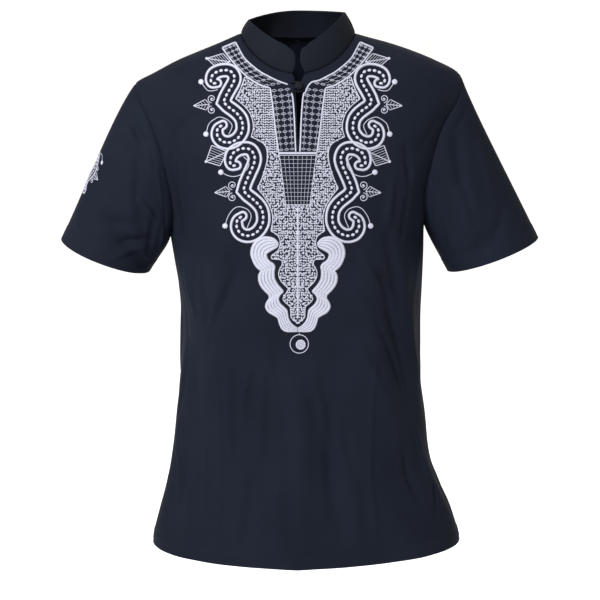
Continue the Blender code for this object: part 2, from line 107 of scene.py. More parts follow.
# Hem, side vents and armholes
HEM_CENTRE = -0.7625
HEM_SIDE = {LEFT: -0.750, RIGHT: -0.746}
VENT_TOP = -0.640
VENT_HALF_ANGLE = math.radians(4.0)
ARMPIT = {LEFT: -0.292, RIGHT: -0.278}
SHOULDER_TIP = {LEFT: -0.073, RIGHT: -0.062}
ARMHOLE_REACH = {FRONT: math.radians(26.0), BACK: math.radians(25.0)}
ARMHOLE_ROUNDNESS = 0.85
ROW_AT_ARMPIT = {FRONT: -0.232, BACK: -0.250}

# Sleeves: the cuff's outer and inner ends as seen from the front, and its half depth
CUFF_OUTER = {LEFT: (-0.346, 0.0, -0.298), RIGHT: (0.351, 0.0, -0.296)}
CUFF_INNER = {LEFT: (-0.217, 0.0, -0.345), RIGHT: (0.219, 0.0, -0.345)}
CUFF_HALF_DEPTH = 0.064
CUFF_FRONT_DROOP = {LEFT: 0.008, RIGHT: 0.004}
SLEEVE_START = {
    # outward, forward or back, down, firmness
    "left top": (0.62, 0.00, -0.78, 0.60),
    "right top": (0.33, 0.00, -0.94, 0.55),
    "front": (0.62, -0.40, -0.68, 0.60),
    "left under": (0.15, 0.00, -0.99, 0.85),
    "right under": (0.30, 0.00, -0.95, 0.70),
    "back": (0.62, 0.40, -0.68, 0.60),
}

# Collar
COLLAR_TOP_HALF_WIDTH = {LEFT: 0.0716, RIGHT: 0.0683}
COLLAR_TOP_DEPTH = {FRONT: 0.072, BACK: 0.058}
COLLAR_FRONT_HEIGHT = {LEFT: -0.0197, RIGHT: -0.0172}
COLLAR_SIDE_HEIGHT = {LEFT: 0.0192, RIGHT: 0.0298}
COLLAR_BACK_HEIGHT = 0.032
COLLAR_TOP_CURVE = {FRONT: 1.5, BACK: 2.0}
COLLAR_BOW = 0.0015
COLLAR_FRONT_EDGES = (
    # share of the height, left edge, right edge
    (0.00, -0.0076, 0.0104),
    (0.25, -0.0042, 0.0059),
    (0.50, -0.0029, 0.0032),
    (0.75, -0.0040, 0.0038),
    (0.92, -0.0075, 0.0062),
    (1.00, -0.0118, 0.0108),
)

# Ball and loop
BALL_RADIUS = 0.0065
BALL_FLATNESS = 0.80
BALL_X, BALL_Z = 0.0012, -0.0745
LOOP_CORD_RADIUS = 0.0015
LOOP_BEND_RADIUS = 0.0071
LOOP_END_X = -0.0115
SEAM_GAP = 0.0003

# Folds
FOLD_TAPER = 0.7
BODY_FOLD_RADIUS = 0.16
SLEEVE_FOLD_RADIUS = 0.064
SLEEVE_FOLD_LENGTH = 0.2
SLEEVE_FOLDS_START = 0.17
BODY_FOLDS = (
    # face, angle, height, angle, height, width, rise
    (FRONT, -70, -0.44, -77, -0.75, 0.038, 0.0060),
    (FRONT, -58, -0.46, -62, -0.75, 0.034, -0.0045),
    (FRONT, -38, -0.30, -50, -0.56, 0.038, 0.0045),
    (FRONT, -20, -0.42, -26, -0.74, 0.048, -0.0040),
    (FRONT, -4, -0.46, -2, -0.75, 0.055, 0.0055),
    (FRONT, 18, -0.44, 14, -0.73, 0.045, -0.0045),
    (FRONT, 30, -0.32, 48, -0.58, 0.040, 0.0045),
    (FRONT, 44, -0.35, 66, -0.62, 0.040, -0.0040),
    (FRONT, 50, -0.28, 76, -0.60, 0.036, 0.0050),
    (FRONT, 66, -0.62, 72, -0.75, 0.040, 0.0055),
    (FRONT, 44, -0.60, 50, -0.74, 0.045, -0.0035),
    (FRONT, -60, -0.19, -70, -0.34, 0.032, -0.0050),
    (FRONT, 60, -0.18, 70, -0.33, 0.032, -0.0050),
    (BACK, -62, -0.20, -50, -0.48, 0.045, 0.0055),
    (BACK, -40, -0.34, -34, -0.74, 0.050, -0.0050),
    (BACK, -16, -0.40, -12, -0.74, 0.055, 0.0050),
    (BACK, 8, -0.36, 12, -0.74, 0.050, -0.0050),
    (BACK, 30, -0.38, 34, -0.74, 0.055, 0.0055),
    (BACK, 62, -0.20, 52, -0.50, 0.045, 0.0050),
    (BACK, 56, -0.52, 60, -0.74, 0.045, -0.0040),
)
SLEEVE_FOLDS = (
    # side, angle, share, angle, share, width, rise
    (LEFT, 55, 0.66, 150, 0.84, 0.018, -0.0060),
    (LEFT, 60, 0.86, 140, 0.96, 0.018, 0.0035),
    (LEFT, 52, 0.34, 108, 0.66, 0.020, 0.0050),
    (LEFT, 30, 0.06, 76, 0.30, 0.020, -0.0050),
    (LEFT, 215, 0.30, 260, 0.72, 0.028, 0.0045),
    (LEFT, 285, 0.20, 300, 0.80, 0.028, -0.0040),
    (RIGHT, 45, 0.10, 84, 0.42, 0.020, -0.0045),
    (RIGHT, 66, 0.42, 120, 0.80, 0.024, 0.0035),
    (RIGHT, 60, 0.78, 130, 0.92, 0.022, -0.0030),
    (RIGHT, 220, 0.28, 262, 0.70, 0.028, 0.0045),
    (RIGHT, 286, 0.24, 300, 0.82, 0.028, -0.0040),
)
# Finer folds that only the looks have, in the same columns
FINE_BODY_FOLDS = (
    # face, angle, height, angle, height, width, rise
    (FRONT, -30, -0.27, -41, -0.37, 0.020, 0.0018),
    (FRONT, 40, -0.40, 58, -0.56, 0.014, 0.0016),
    (FRONT, 52, -0.44, 68, -0.60, 0.014, -0.0014),
    (FRONT, 60, -0.40, 80, -0.55, 0.012, 0.0015),
    (FRONT, -64, -0.30, -52, -0.42, 0.016, 0.0018),
    (FRONT, -78, -0.33, -66, -0.50, 0.014, -0.0014),
    (FRONT, 74, -0.31, 62, -0.42, 0.016, 0.0018),
    (FRONT, 82, -0.36, 76, -0.52, 0.013, -0.0012),
    (FRONT, -12, -0.50, -16, -0.70, 0.020, -0.0014),
    (FRONT, 8, -0.56, 10, -0.73, 0.018, 0.0014),
    (FRONT, -58, -0.11, -50, -0.18, 0.012, -0.0016),
    (FRONT, 60, -0.11, 52, -0.17, 0.012, -0.0014),
    (BACK, -24, -0.08, -34, -0.20, 0.016, 0.0028),
    (BACK, 24, -0.08, 34, -0.20, 0.016, 0.0028),
    (BACK, -52, -0.10, -66, -0.22, 0.012, -0.0030),
    (BACK, 50, -0.10, 64, -0.23, 0.012, -0.0030),
    (BACK, -60, -0.34, -40, -0.46, 0.013, -0.0032),
    (BACK, 58, -0.36, 36, -0.48, 0.013, -0.0032),
    (BACK, -46, -0.50, -52, -0.72, 0.016, 0.0034),
    (BACK, 42, -0.50, 48, -0.72, 0.016, -0.0032),
    (BACK, 0, -0.34, -3, -0.56, 0.018, 0.0028),
    (BACK, -70, -0.30, -56, -0.44, 0.016, 0.0018),
    (BACK, 70, -0.30, 58, -0.46, 0.016, 0.0018),
    (BACK, -26, -0.46, -22, -0.72, 0.018, 0.0030),
    (BACK, 20, -0.50, 24, -0.73, 0.018, 0.0030),
    (BACK, -74, -0.46, -70, -0.70, 0.016, 0.0030),
    (BACK, 74, -0.50, 72, -0.72, 0.016, 0.0030),
)
# Creases of the front as the camera sees them, in millimetres right of the centre and down from
# the neck point: start, end, width, rise
FRONT_CREASES = (
    ((-143, 112), (-181, 144), 8, -3.1),
    ((-178, 134), (-187, 201), 8, -3.4),
    ((-184, 194), (-173, 286), 8, -3.6),
    ((-161, 151), (-167, 258), 11, 3.6),
    ((-164, 314), (-150, 406), 10, 4.2),
    ((-139, 324), (-130, 420), 10, -3.6),
    ((-103, 335), (-132, 441), 10, 4.2),
    ((-82, 324), (-113, 403), 8, -3.6),
    ((-158, 434), (-170, 562), 11, -4.2),
    ((-168, 548), (-180, 689), 10, 4.9),
    ((-144, 562), (-153, 710), 13, -4.4),
    ((-93, 463), (-88, 618), 13, -3.9),
    ((-51, 463), (-57, 618), 14, 3.9),
    ((-33, 420), (-17, 548), 14, -3.1),
    ((3, 491), (11, 717), 20, 4.4),
    ((45, 519), (57, 703), 15, -4.4),
    ((-68, 632), (-74, 739), 14, -3.6),
    ((76, 618), (82, 739), 14, 3.6),
    ((74, 314), (160, 378), 9, -4.2),
    ((67, 357), (133, 420), 8, 3.9),
    ((99, 378), (161, 533), 9, -4.4),
    ((76, 420), (125, 519), 9, 3.6),
    ((133, 420), (168, 562), 10, 4.4),
    ((151, 576), (184, 689), 11, -4.2),
    ((172, 562), (205, 675), 10, 4.9),
    ((188, 618), (201, 710), 8, -4.2),
    ((150, 150), (160, 222), 8, -2.9),
    ((158, 222), (148, 290), 8, -3.6),
    ((134, 200), (126, 282), 10, 3.4),
    ((-119, 395), (-118, 755), 6, 2.5),
    ((111, 440), (111, 755), 6, 2.5),
    ((124, 262), (150, 410), 14, -4.4),
    ((-150, 300), (-148, 420), 6, -2.6),
    ((-176, 360), (-182, 500), 12, 3.4),
    ((-133, 560), (-124, 700), 20, -4.6),
    ((-160, 545), (-166, 690), 10, 4.0),
    ((20, 470), (52, 600), 9, 2.6),
    ((-70, 470), (-88, 560), 8, 2.6),
    ((88, 300), (118, 370), 9, 3.0),
    ((118, 340), (150, 470), 10, -3.6),
    ((62, 545), (88, 640), 10, -2.8),
    ((-30, 640), (-22, 745), 12, 2.6),
)
FINE_SLEEVE_FOLDS = (
    # side, angle, share, angle, share, width, rise
    (LEFT, 62, 0.26, 92, 0.50, 0.008, -0.0018),
    (LEFT, 44, 0.40, 60, 0.70, 0.010, 0.0014),
    (LEFT, 80, 0.08, 120, 0.22, 0.009, 0.0016),
    (LEFT, 118, 0.16, 150, 0.36, 0.009, -0.0014),
    (LEFT, 240, 0.12, 215, 0.34, 0.010, 0.0016),
    (RIGHT, 84, 0.10, 122, 0.24, 0.009, 0.0016),
    (RIGHT, 96, 0.34, 118, 0.62, 0.010, -0.0012),
    (RIGHT, 120, 0.16, 150, 0.36, 0.009, -0.0014),
    (RIGHT, 240, 0.12, 215, 0.34, 0.010, 0.0016),
    (LEFT, 12, 0.20, 68, 0.10, 0.008, -0.0038),
    (LEFT, 30, 0.24, 84, 0.16, 0.009, 0.0032),
    (LEFT, 20, 0.36, 64, 0.26, 0.009, -0.0038),
    (LEFT, 87, 0.85, 131, 0.52, 0.007, -0.0040),
    (LEFT, 92, 0.94, 136, 0.60, 0.007, 0.0036),
    (LEFT, 84, 0.44, 121, 0.38, 0.007, 0.0036),
    (LEFT, 57, 0.76, 116, 0.52, 0.013, -0.0046),
    (LEFT, 34, 0.84, 84, 0.80, 0.009, 0.0028),
    (LEFT, 16, 0.80, 60, 0.90, 0.010, 0.0038),
    (LEFT, 112, 0.30, 138, 0.74, 0.010, -0.0028),
    (LEFT, 134, 0.24, 156, 0.60, 0.009, 0.0028),
    (RIGHT, 14, 0.16, 60, 0.12, 0.009, -0.0028),
    (RIGHT, 30, 0.30, 50, 0.62, 0.010, 0.0034),
    (RIGHT, 74, 0.30, 92, 0.72, 0.010, -0.0036),
    (RIGHT, 116, 0.40, 134, 0.80, 0.010, 0.0026),
    (RIGHT, 40, 0.70, 84, 0.86, 0.010, -0.0024),
)

# Low unevenness of the cloth: waves on its width and height
COCKLE_WAVES = (
    # length across, length up, phase, rise
    (0.110, 0.190, 0.4, 0.00035),
    (0.070, -0.120, 1.9, 0.00030),
    (0.045, 0.260, 3.1, 0.00022),
    (-0.150, 0.080, 5.0, 0.00025),
)

# Steps of the fine cloth: distances from the hem in metres, shares of a row or of the sleeve's
# length from its edges, and counts
HEM_ROWS = (0.0, 0.0007, 0.0030, 0.0085, 0.0140, 0.0165, 0.0176, 0.0184, 0.0200)
HEM_BAND = 0.018
CUFF_BAND = 0.020
HEM_RISE, HEM_SLOPE = 0.0005, 0.0008
EDGE_COLUMNS = (0.0, 0.0022, 0.0050, 0.0090)
ACROSS = 78
UP_SIDE = 92
UP_NECKLINE = 32
UP_SLIT = 22
BELOW_SLIT = 12
UP_ARMHOLE = UP_NECKLINE + UP_SLIT + BELOW_SLIT
ARMPIT_ROW = len(HEM_ROWS) + UP_SIDE - 1
CUFF_ROWS = (0.0880, 0.0840, 0.0800, 0.0740, 0.0400, 0.0040, 0.0)
SLEEVE_EDGE_ROWS = (0.0, 0.0025, 0.0060, 0.0105, 0.0170)
ALONG_SLEEVE = 56
UP_COLLAR = 22
GROOVE_DEPTH = 0.0008
GROOVE_WIDTH = 0.0013
# Past this angle between two pieces, in degrees, each starts to keep its own normals at a seam
CORNER_START, CORNER_BLEND = 35.0, 20.0
PLACES_PER_METRE = 1e6
POINTS_AT_ONCE = 2000
TINY = 1e-12

# Embroidery: a flat drawing in millimetres, as seen from the front. The first number runs to the
# right from the centre line, the second down from the level of the neck point, and a third is the
# thread's height. Most of it is listed for the left half only, and mirrored. Its millimetres hold at
# PATTERN_DISTANCE from the camera, and its level 0 lies PATTERN_TOP above the middle of the view.
PATTERN_DISTANCE = 3.0803
PATTERN_TOP = 0.3778
PATTERN_STEP = 1.5
PATTERN_BOX = ((-162.0, 4.0), (162.0, 470.0))
PATTERN_START_DEPTH = -0.12
PATTERN_ROUNDS = 14
PATTERN_ANGLE_LIMIT, PATTERN_LEAST_COSINE = math.radians(88.0), 0.25
PATTERN_HIGHEST = -0.001
PATTERN_LAST = 1.001
SLEEVE_PATTERN_BOX = ((-48.0, -60.0), (48.0, 60.0))
SLEEVE_PATTERN_RADIUS = 0.068
SLEEVE_PATTERN_SHARE = 0.60
SLEEVE_PATTERN_SCALE = 0.00066
SLEEVE_PATTERN_TURN = math.radians(11.0)
SLEEVE_LENGTH = 0.240

CORD_SECTION = np.array(((-1.0, 0.0), (-0.62, 0.78), (0.0, 1.0), (0.62, 0.78), (1.0, 0.0), (0.0, -0.25)))
CORD_STEP, CORD_END_WIDTH, CORD_END_HEIGHT = 1.2, 0.45, 0.5
LINE_STEPS = 8
DOME_PROFILE, DOME_SIDES = ((1.0, 0.0), (0.84, 0.58), (0.48, 0.90)), 10
# How much painted shade the foot of a dot or seed gets, none at its top
STAMP_RIM_SHADE = 0.45
THREAD_PITCH, THREAD_SLANT = 0.55, 0.35
THREAD_RIDGE, THREAD_NOISE_SCALE = 0.5, 900.0
# The threads' relief and bump, and the range of relief over which the colour runs from painted groove
# shade to full colour
THREAD_BUMP, THREAD_RELIEF, THREAD_SHADE_RANGE = 0.6, 0.00012, (-0.3, 0.9)
THREAD_ROUGHNESS = 0.42
# Painted shade on the threads: how much darker the edges of cords and the foot of dots are painted, and
# the share of the colour left in the deepest painted shade
THREAD_RIM_SHADE, THREAD_DEEPEST_SHADE = 0.80, 0.46
THREAD_COLOUR = (0.38, 0.385, 0.44)
BORDER_WIDTH, BORDER_HEIGHT = 2.5, 0.9
SATIN_WIDTH, SATIN_HEIGHT = 4.0, 1.2
LINE_WIDTH, LINE_HEIGHT = 1.3, 0.45
FINE_WIDTH, FINE_HEIGHT = 0.7, 0.35

# Bands round the neck and beside the slit
NECK_INNER = ((-88, 13), (-84, 21), (-76, 35), (-66, 45), (-53, 55), (-42, 61), (-30, 67), (-14, 73))
NECK_OUTER = ((-107, 21), (-99, 32), (-91, 42), (-82, 52), (-75, 59), (-63, 68), (-52, 74), (-39, 78))
PLACKET_INNER = ((-9, 84), (-7, 94), (-5, 120), (-4, 146), (-3, 168))
PLACKET_OUTER = ((-39, 78), (-35, 107), (-32, 133), (-27, 170))
NECK_LATTICE, PLACKET_LATTICE = (3, 10), (3, 11)
LATTICE_INNER = ((-11, 75), (-8, 94), (-6, 120), (-5, 146), (-4, 168))
LATTICE_WIDTH, LATTICE_HEIGHT = 0.5, 0.3
EYE_LENGTH_SHARE, EYE_WIDTH_SHARE, EYE_POINTS = 0.31, 0.15, 14
EYE_THREAD, EYE_HEIGHT, EYE_STEP, LINK_WIDTH = 0.9, 0.7, 0.8, 0.8
NECK_CORNER = ((20, 69.5), (14, 76), (10, 86))
PANEL_EDGE_WIDTH, PANEL_EDGE_HEIGHT, PANEL_LINE_WIDTH, BAR_WIDTH = 1.2, 0.5, 0.55, 3.4
BAR_DEPTH, BAR_HALF_WIDTH = 170, 27
PANEL_TOP, PANEL_BOTTOM = 173, 243
PANEL_TOP_HALF_WIDTH, PANEL_BOTTOM_HALF_WIDTH = 26, 17
PANEL_CELLS = (8, 12)

# A scroll: two hooks that meet in a point, from the upper hook's end to the lower one's, measured
# from that point. The second scroll is the same one drawn taller.
UPPER_HOOK = (
    (-9, -27), (-16, -27), (-18, -32), (-15, -39), (-9, -43), (-2, -45),
    (6, -45), (12, -42), (15.5, -35), (14, -28), (9, -19), (3, -8), (0, 0),
)
LOWER_HOOK = (
    (0, 0), (6, 6), (13, 11), (20, 17), (25, 24), (27, 33), (26, 42), (20, 51),
    (12, 56), (4, 57), (-4, 54), (-9, 46), (-8, 37), (-1, 32),
)
SCROLLS = (
    # point across, point down, across, up and down stretch
    (-105, 98, 1.00, 1.00, 1.00),
    (-77, 223, 1.04, 1.32, 1.12),
)
BAND_HALF_WIDTH, BAND_END_HALF_WIDTH, BAND_END_REACH = 8.7, 5.6, 26.0
BAND_CAP_POINTS, BAND_LEAST_COSINE, BAND_TOLERANCE = 9, 0.3, 0.12
BEAD_SPACING, BEAD_REACH = 7.5, 0.01
BEAD_HALF_LENGTH, BEAD_HALF_WIDTH, BEAD_HEIGHT = 3.0, 2.1, 1.3

# Fine tendrils, each with a knob at its first point
TENDRILS = (
    ((-137, 69), (-129, 80), (-122, 82), (-113, 80)),
    ((-130, 143), (-126, 129), (-118, 122), (-111, 119), (-103, 121), (-97, 125), (-93, 132), (-98, 144)),
    ((-109, 197), (-98, 202), (-90, 203), (-82, 201), (-75, 196), (-70, 189), (-70, 182), (-77, 175)),
    ((-103, 273), (-99, 260), (-92, 250), (-85, 246), (-77, 247), (-70, 251), (-66, 260), (-72, 276)),
)
KNOB_RADIUS, KNOB_HEIGHT = 4.1, 1.3
KNOB_DIRECTION = (1.0, 0.4)

# Arrow leaves: tip, the base's upper corner, middle and lower corner, then the radius of the curls
ARROWS = (
    ((-148, 103), (-131, 94), (-125, 101), (-130, 109), 6.0),
    ((-118, 226), (-102, 217), (-96, 224), (-101, 232), 6.4),
)
ARROW_HATCHES = 4
CURL_ACROSS, CURL_APART, CURL_TURNS = 0.55, 1.35, 1.3
CURL_POINTS, CURL_DEPTH = 40, 0.72
CURL_KNOB_RADIUS, CURL_KNOB_HEIGHT = 1.5, 0.7
# Kite leaves: the outer corner with its knob, then the corners round to it
KITES = (
    ((-129, 36), (-106, 29), (-95, 41), (-118, 46)),
    ((-130, 182), (-122, 159), (-100, 168), (-110, 188)),
)
KITE_HATCHES, KITE_LINE_WIDTH = 6, LINE_WIDTH + 0.2
KITE_KNOB_RADIUS, KITE_KNOB_HEIGHT = 2.1, 0.9

# The stippled ground between the scrolls: its edge in stretches that meet in points
GROUND_EDGE = (
    ((-75, 62), (-81, 79), (-88, 93)),
    ((-88, 93), (-76, 103), (-68, 113), (-64, 124), (-63, 135), (-66, 147)),
    ((-66, 147), (-57, 151), (-48, 157), (-44, 165), (-43, 176), (-46, 191), (-51, 206), (-57, 220)),
    ((-57, 220), (-48, 231), (-40, 244), (-36, 257), (-36, 269), (-38, 280)),
    ((-38, 280), (-29, 286), (-25, 295), (-27, 306), (-33, 312)),
    ((-33, 312), (-37, 315), (-37, 319), (-32, 320)),
    ((-32, 320), (-24, 321), (-22, 327), (-26, 335), (-27, 343), (-23, 352), (-13, 362)),
    ((-13, 362), (-17, 369), (-21, 376), (-17, 382), (-11, 387), (-10, 395), (-9, 403), (0, 411)),
)
STIPPLE_ROW, STIPPLE_PITCH, STIPPLE_TILT = 3.5, 3.1, 0.62
STIPPLE_HALF_LENGTH, STIPPLE_HALF_WIDTH, STIPPLE_HEIGHT = 2.3, 1.25, 0.6
STIPPLE_SHIFT, STIPPLE_TURN, STIPPLE_CALM, STIPPLE_REACH = 0.55, 1.0, 0.12, 30.0
STIPPLE_SIZES, STIPPLE_SEED = (0.8, 1.12), 5
STIPPLE_LEFT, STIPPLE_TOP, STIPPLE_BOTTOM = -92, 56, 412
GROUND_LINE_WIDTH, GROUND_LINE_HEIGHT = LINE_WIDTH + 0.3, LINE_HEIGHT + 0.1
GROUND_NECK_END = -76
SPINE_TOP, SPINE_BOTTOM, SPINE_WIDTH, SPINE_HEIGHT, SPINE_POINTS = 246, 405, 4.2, 0.75, 110
SPINE_PLAIN_SHARE, SPINE_WAVES = 0.72, (0.55, 0.21)

# The scalloped tail: lobes of satin ribs between an outer and an inner line
TAIL_LOBES = (
    (
        (
            (-27, 297), (-35, 290), (-47, 288), (-57, 291), (-64, 299),
            (-67, 310), (-65, 320), (-60, 330), (-52, 337),
        ),
        (
            (-27, 299), (-30, 304), (-37, 308), (-43, 312), (-44, 316),
            (-42, 321), (-38, 325), (-34, 327), (-32, 330),
        ),
    ),
    (
        ((-52, 337), (-56, 344), (-55, 354), (-50, 362), (-42, 370)),
        ((-32, 330), (-33, 338), (-32, 348), (-27, 357), (-20, 365)),
    ),
    (
        ((-42, 370), (-41, 376), (-45, 383), (-46, 389), (-42, 395), (-35, 399), (-29, 403)),
        ((-20, 365), (-25, 370), (-27, 376), (-24, 383), (-19, 388), (-15, 392), (-14, 397)),
    ),
    (
        ((-29, 403), (-26, 413), (-22, 420), (-15, 423), (0, 423)),
        ((-14, 397), (-13, 403), (-10, 409), (-5, 414), (0, 417)),
    ),
)
TAIL_RIBS, TAIL_HEIGHT, TAIL_OVERLAP, TAIL_EXTRA, TAIL_POINTS = 5, 1.3, 1.16, 0.12, 44
TAIL_LEAST_STEP = 1e-6
PENDANT_TOP, PENDANT_CENTRE, PENDANT_RADIUS = 424, (2, 440), 13
PENDANT_DOT, PENDANT_DOT_RINGS = (4, 441), (5.9, 3.6, 1.2)
PENDANT_DOT_WIDTH, PENDANT_DOT_HEIGHT = 2.6, 0.9
CIRCLE_POINTS = 60

# The left sleeve's motif: a beaded stem, an arrow leaf with two curls on either side of it, and a
# hook with a knob at both ends. The second hook is the first one turned half round.
SLEEVE_STEM = ((-4, -34), (4, -22), (6, -8), (0, 4), (-7, 15), (-4, 28), (5, 34))
SLEEVE_STEM_WIDTH, SLEEVE_BEADS, SLEEVE_BEAD_REACH = 3.0, 12, 0.02
SLEEVE_LEAF_DEPTHS = {-1: 12, 1: -6}
SLEEVE_LEAF_TIP, SLEEVE_LEAF_CORNER, SLEEVE_LEAF_MIDDLE, SLEEVE_LEAF_HALF_WIDTH = 34, 20, 16, 7
SLEEVE_CURL_ACROSS, SLEEVE_CURL_APART, SLEEVE_CURL_RADIUS = 17, 12, 6.0
SLEEVE_HOOK = ((22, -36), (12, -44), (2, -42))

# Closure cord and topstitching, in metres
KNOT_LEADS, KNOT_BIGHTS, KNOT_POINTS = 3, 4, 260
KNOT_LATITUDE = math.radians(58.0)
KNOT_REACH, KNOT_WEAVE, KNOT_CORD = 0.0047, 0.00045, 0.00135
KNOT_CORE_RINGS, KNOT_CORE_SIDES = 12, 20
LOOP_STRAIGHT_POINTS, LOOP_BEND_POINTS = 24, 48
CORD_SIDES = 10
STRAND_RADIUS, STRAND_OFFSET, STRAND_TWIST = 0.0008, 0.0007, 0.0056
CORD_COLOUR, CORD_ROUGHNESS = (0.0050, 0.0058, 0.0095), 0.65
SEAM_THREAD_COLOUR, SEAM_THREAD_ROUGHNESS = (0.0075, 0.0090, 0.0155), 0.6
STITCH_LENGTH, STITCH_WIDTH, STITCH_HEIGHT = 0.0026, 0.0005, 0.00025
STITCH_SPACING, STITCH_REACH = 0.0032, 0.0005
HEM_STITCH_ROW, CUFF_STITCH_ROW = 5, -4
COLLAR_STITCH_ROW, COLLAR_STITCH_COLUMN = -4, 2

# Camera and stage
CAMERA_TARGET = (0.003, 0.0, -0.38963)
CAMERA_DISTANCE = 3.2
CAMERA_PITCH = math.radians(8.0)
CAMERA_LENS = 130.6
FLOOR_HEIGHT = -1.05
FLOOR_RADIUS, FLOOR_SIDES = 60.0, 96
FLOOR_COLOUR, FLOOR_ROUGHNESS = (0.95, 0.96, 0.98), 0.9
FLOOR_NOISE_SCALE, FLOOR_BUMP = 2.0, 0.02
SKY_COLOUR, SKY_STRENGTH = (1.0, 0.965, 0.925), 1.10
LIGHTS = (
    # name, place, target, size, power, colour
    ("key", (-2.0, -2.7, 2.5), (0.0, 0.0, -0.35), 0.6, 320.0, (0.93, 0.98, 1.08)),
    ("fill", (2.6, -2.2, 0.6), (0.0, 0.0, -0.35), 2.0, 4.0, (1.0, 1.0, 1.0)),
    ("rim", (0.6, 2.6, 1.8), (0.0, 0.0, -0.2), 1.6, 12.0, (1.0, 1.0, 1.0)),
)


def smooth_columns(rows, at):
    """The later columns of rows where the first has these values, on smooth curves without overshoot."""
    table = np.array(rows, float)
    x, y = table[:, 0], table[:, 1:]
    step = np.diff(x)[:, None]
    slope = np.diff(y, axis=0) / step
    before, after = slope[:-1], slope[1:]
    same_way = before * after > 0
    safe = np.where(same_way, before + after, 1.0)
    tangent = np.zeros_like(y)
    tangent[1:-1] = np.where(same_way, 2 * before * after / safe, 0.0)
    tangent[0], tangent[-1] = slope[0], slope[-1]
    at = np.clip(np.asarray(at, float), x[0], x[-1])
    i = np.clip(np.searchsorted(x, at, side="right") - 1, 0, len(x) - 2)
    h = step[i, 0][..., None]
    t = ((at - x[i])[..., None]) / h
    return (
        y[i] * (1 + 2 * t) * (1 - t) ** 2
        + tangent[i] * h * t * (1 - t) ** 2
        + y[i + 1] * t * t * (3 - 2 * t)
        + tangent[i + 1] * h * t * t * (t - 1)
    )


def fold_rise(along, across, start, end, width, rise):
    """How far a straight fold stands out at points, in metres, rounded across and tapered at its ends."""
    run = (end[0] - start[0], end[1] - start[1])
    length = math.hypot(*run)
    side = ((along - start[0]) * run[1] - (across - start[1]) * run[0]) / length
    share = ((along - start[0]) * run[0] + (across - start[1]) * run[1]) / length**2
    section = np.cos(np.clip(side / width, -1, 1) * math.pi / 2) ** 2
    taper = np.sin(np.clip(share, 0, 1) * math.pi) ** FOLD_TAPER
    return rise * section * taper


def crease_end(right, down):
    """A point of the front, in millimetres as seen, as its distance round the body and its height."""
    height = -down / 1000
    half_width = float(shoulder_width(LEFT if right < 0 else RIGHT, height))
    return math.asin(max(-1.0, min(1.0, right / 1000 / half_width))) * BODY_FOLD_RADIUS, height


def folds_rise(across, along, folds, where, radius, length):
    """How far the folds of one face or sleeve stand out at points, in metres."""
    rise = np.zeros_like(across)
    for place, angle_a, share_a, angle_b, share_b, width, amount in folds:
        if place == where:
            start = (math.radians(angle_a) * radius, share_a * length)
            end = (math.radians(angle_b) * radius, share_b * length)
            rise += fold_rise(across, along, start, end, width, amount)
    return rise


def body_rise(angle, height, face):
    """How far all folds and the unevenness of the body stand out."""
    across = angle * BODY_FOLD_RADIUS
    rise = folds_rise(across, height, BODY_FOLDS + FINE_BODY_FOLDS, face, BODY_FOLD_RADIUS, 1.0)
    if face == FRONT:
        for start, end, width, amount in FRONT_CREASES:
            start, end = crease_end(*start), crease_end(*end)
            rise += fold_rise(across, height, start, end, width / 1000, amount / 1000)
    for length_across, length_up, phase, amount in COCKLE_WAVES:
        turns = across / length_across + height / length_up
        rise += amount * np.sin(turns * 2 * math.pi + phase + face)
    return rise


def torso_point(angle, height, face):
    """Points on the body's outer surface: angle 0 at the centre, -90 or 90 degrees at the side seams."""
    left, right, front, back, square = np.moveaxis(smooth_columns(TORSO_ROWS, height), -1, 0)
    half_width = np.where(angle < 0, left, right)
    depth = front if face == FRONT else back
    sine, cosine = np.sin(angle), np.cos(angle)
    rise = body_rise(angle, height, face)
    x = (half_width + rise) * sine
    y = face * cosine * (depth * (1 + square * sine**2) + rise)
    return np.stack([x, y, height], axis=-1)


def shoulder_width(side, height):
    """Half width of the body at a height, on one side."""
    return smooth_columns(TORSO_ROWS, height)[..., SIDE_COLUMN[side]]


def past_edge(x, edge):
    """Distances from the centre, moved so that they start at an edge and are unchanged at SLIT_REACH."""
    return np.where(x < SLIT_REACH, edge + x * (SLIT_REACH - edge) / SLIT_REACH, x)


def neckline(side, face, turn):
    """Angle and height on the body of the neckline at these turns."""
    height = -NECK_DROP[face] * np.cos(turn) ** NECK_CURVE[face]
    height[-1] = 0.0
    x = NECK_HALF_WIDTH * np.sin(turn)
    if face == FRONT:
        x = past_edge(x, side * SLIT_EDGES[-1][1 + SIDE_COLUMN[side]])
    angle = np.arcsin(np.clip(x / shoulder_width(side, height), 0, 1))
    angle[-1] = math.pi / 2
    return side * angle, height


def slit(side):
    """Angle and height on the body of the slit's edge, from its bottom to just under the neckline."""
    height = np.linspace(SLIT_EDGES[0][0], SLIT_EDGES[-1][0], UP_SLIT + 1)[:-1]
    x = smooth_columns(SLIT_EDGES, height)[:, SIDE_COLUMN[side]]
    return np.arcsin(x / shoulder_width(side, height)), height


def from_hem(hem, top, count):
    """Heights from the hem to a height above it, close together at the hem's band."""
    band = hem + np.array(HEM_ROWS)
    return np.concatenate([band, np.linspace(band[-1], top, count + 1)[1:]])


def outer_boundary(side, face):
    """Angle and height up the side seam, with its vent, and round the armhole to the shoulder tip."""
    seam_height = from_hem(HEM_SIDE[side], ARMPIT[side], UP_SIDE)
    vent = np.clip((VENT_TOP - seam_height) / (VENT_TOP - HEM_SIDE[side]), 0, 1)
    seam_angle = math.pi / 2 - VENT_HALF_ANGLE * vent
    turn = np.linspace(0, math.pi, UP_ARMHOLE + 1)[1:]
    hole_angle = math.pi / 2 - ARMHOLE_REACH[face] * np.abs(np.sin(turn)) ** ARMHOLE_ROUNDNESS
    hole_angle[-1] = math.pi / 2
    rise = SHOULDER_TIP[side] - ARMPIT[side]
    hole_height = ARMPIT[side] + rise * (1 - np.cos(turn)) / 2
    return side * np.append(seam_angle, hole_angle), np.append(seam_height, hole_height)


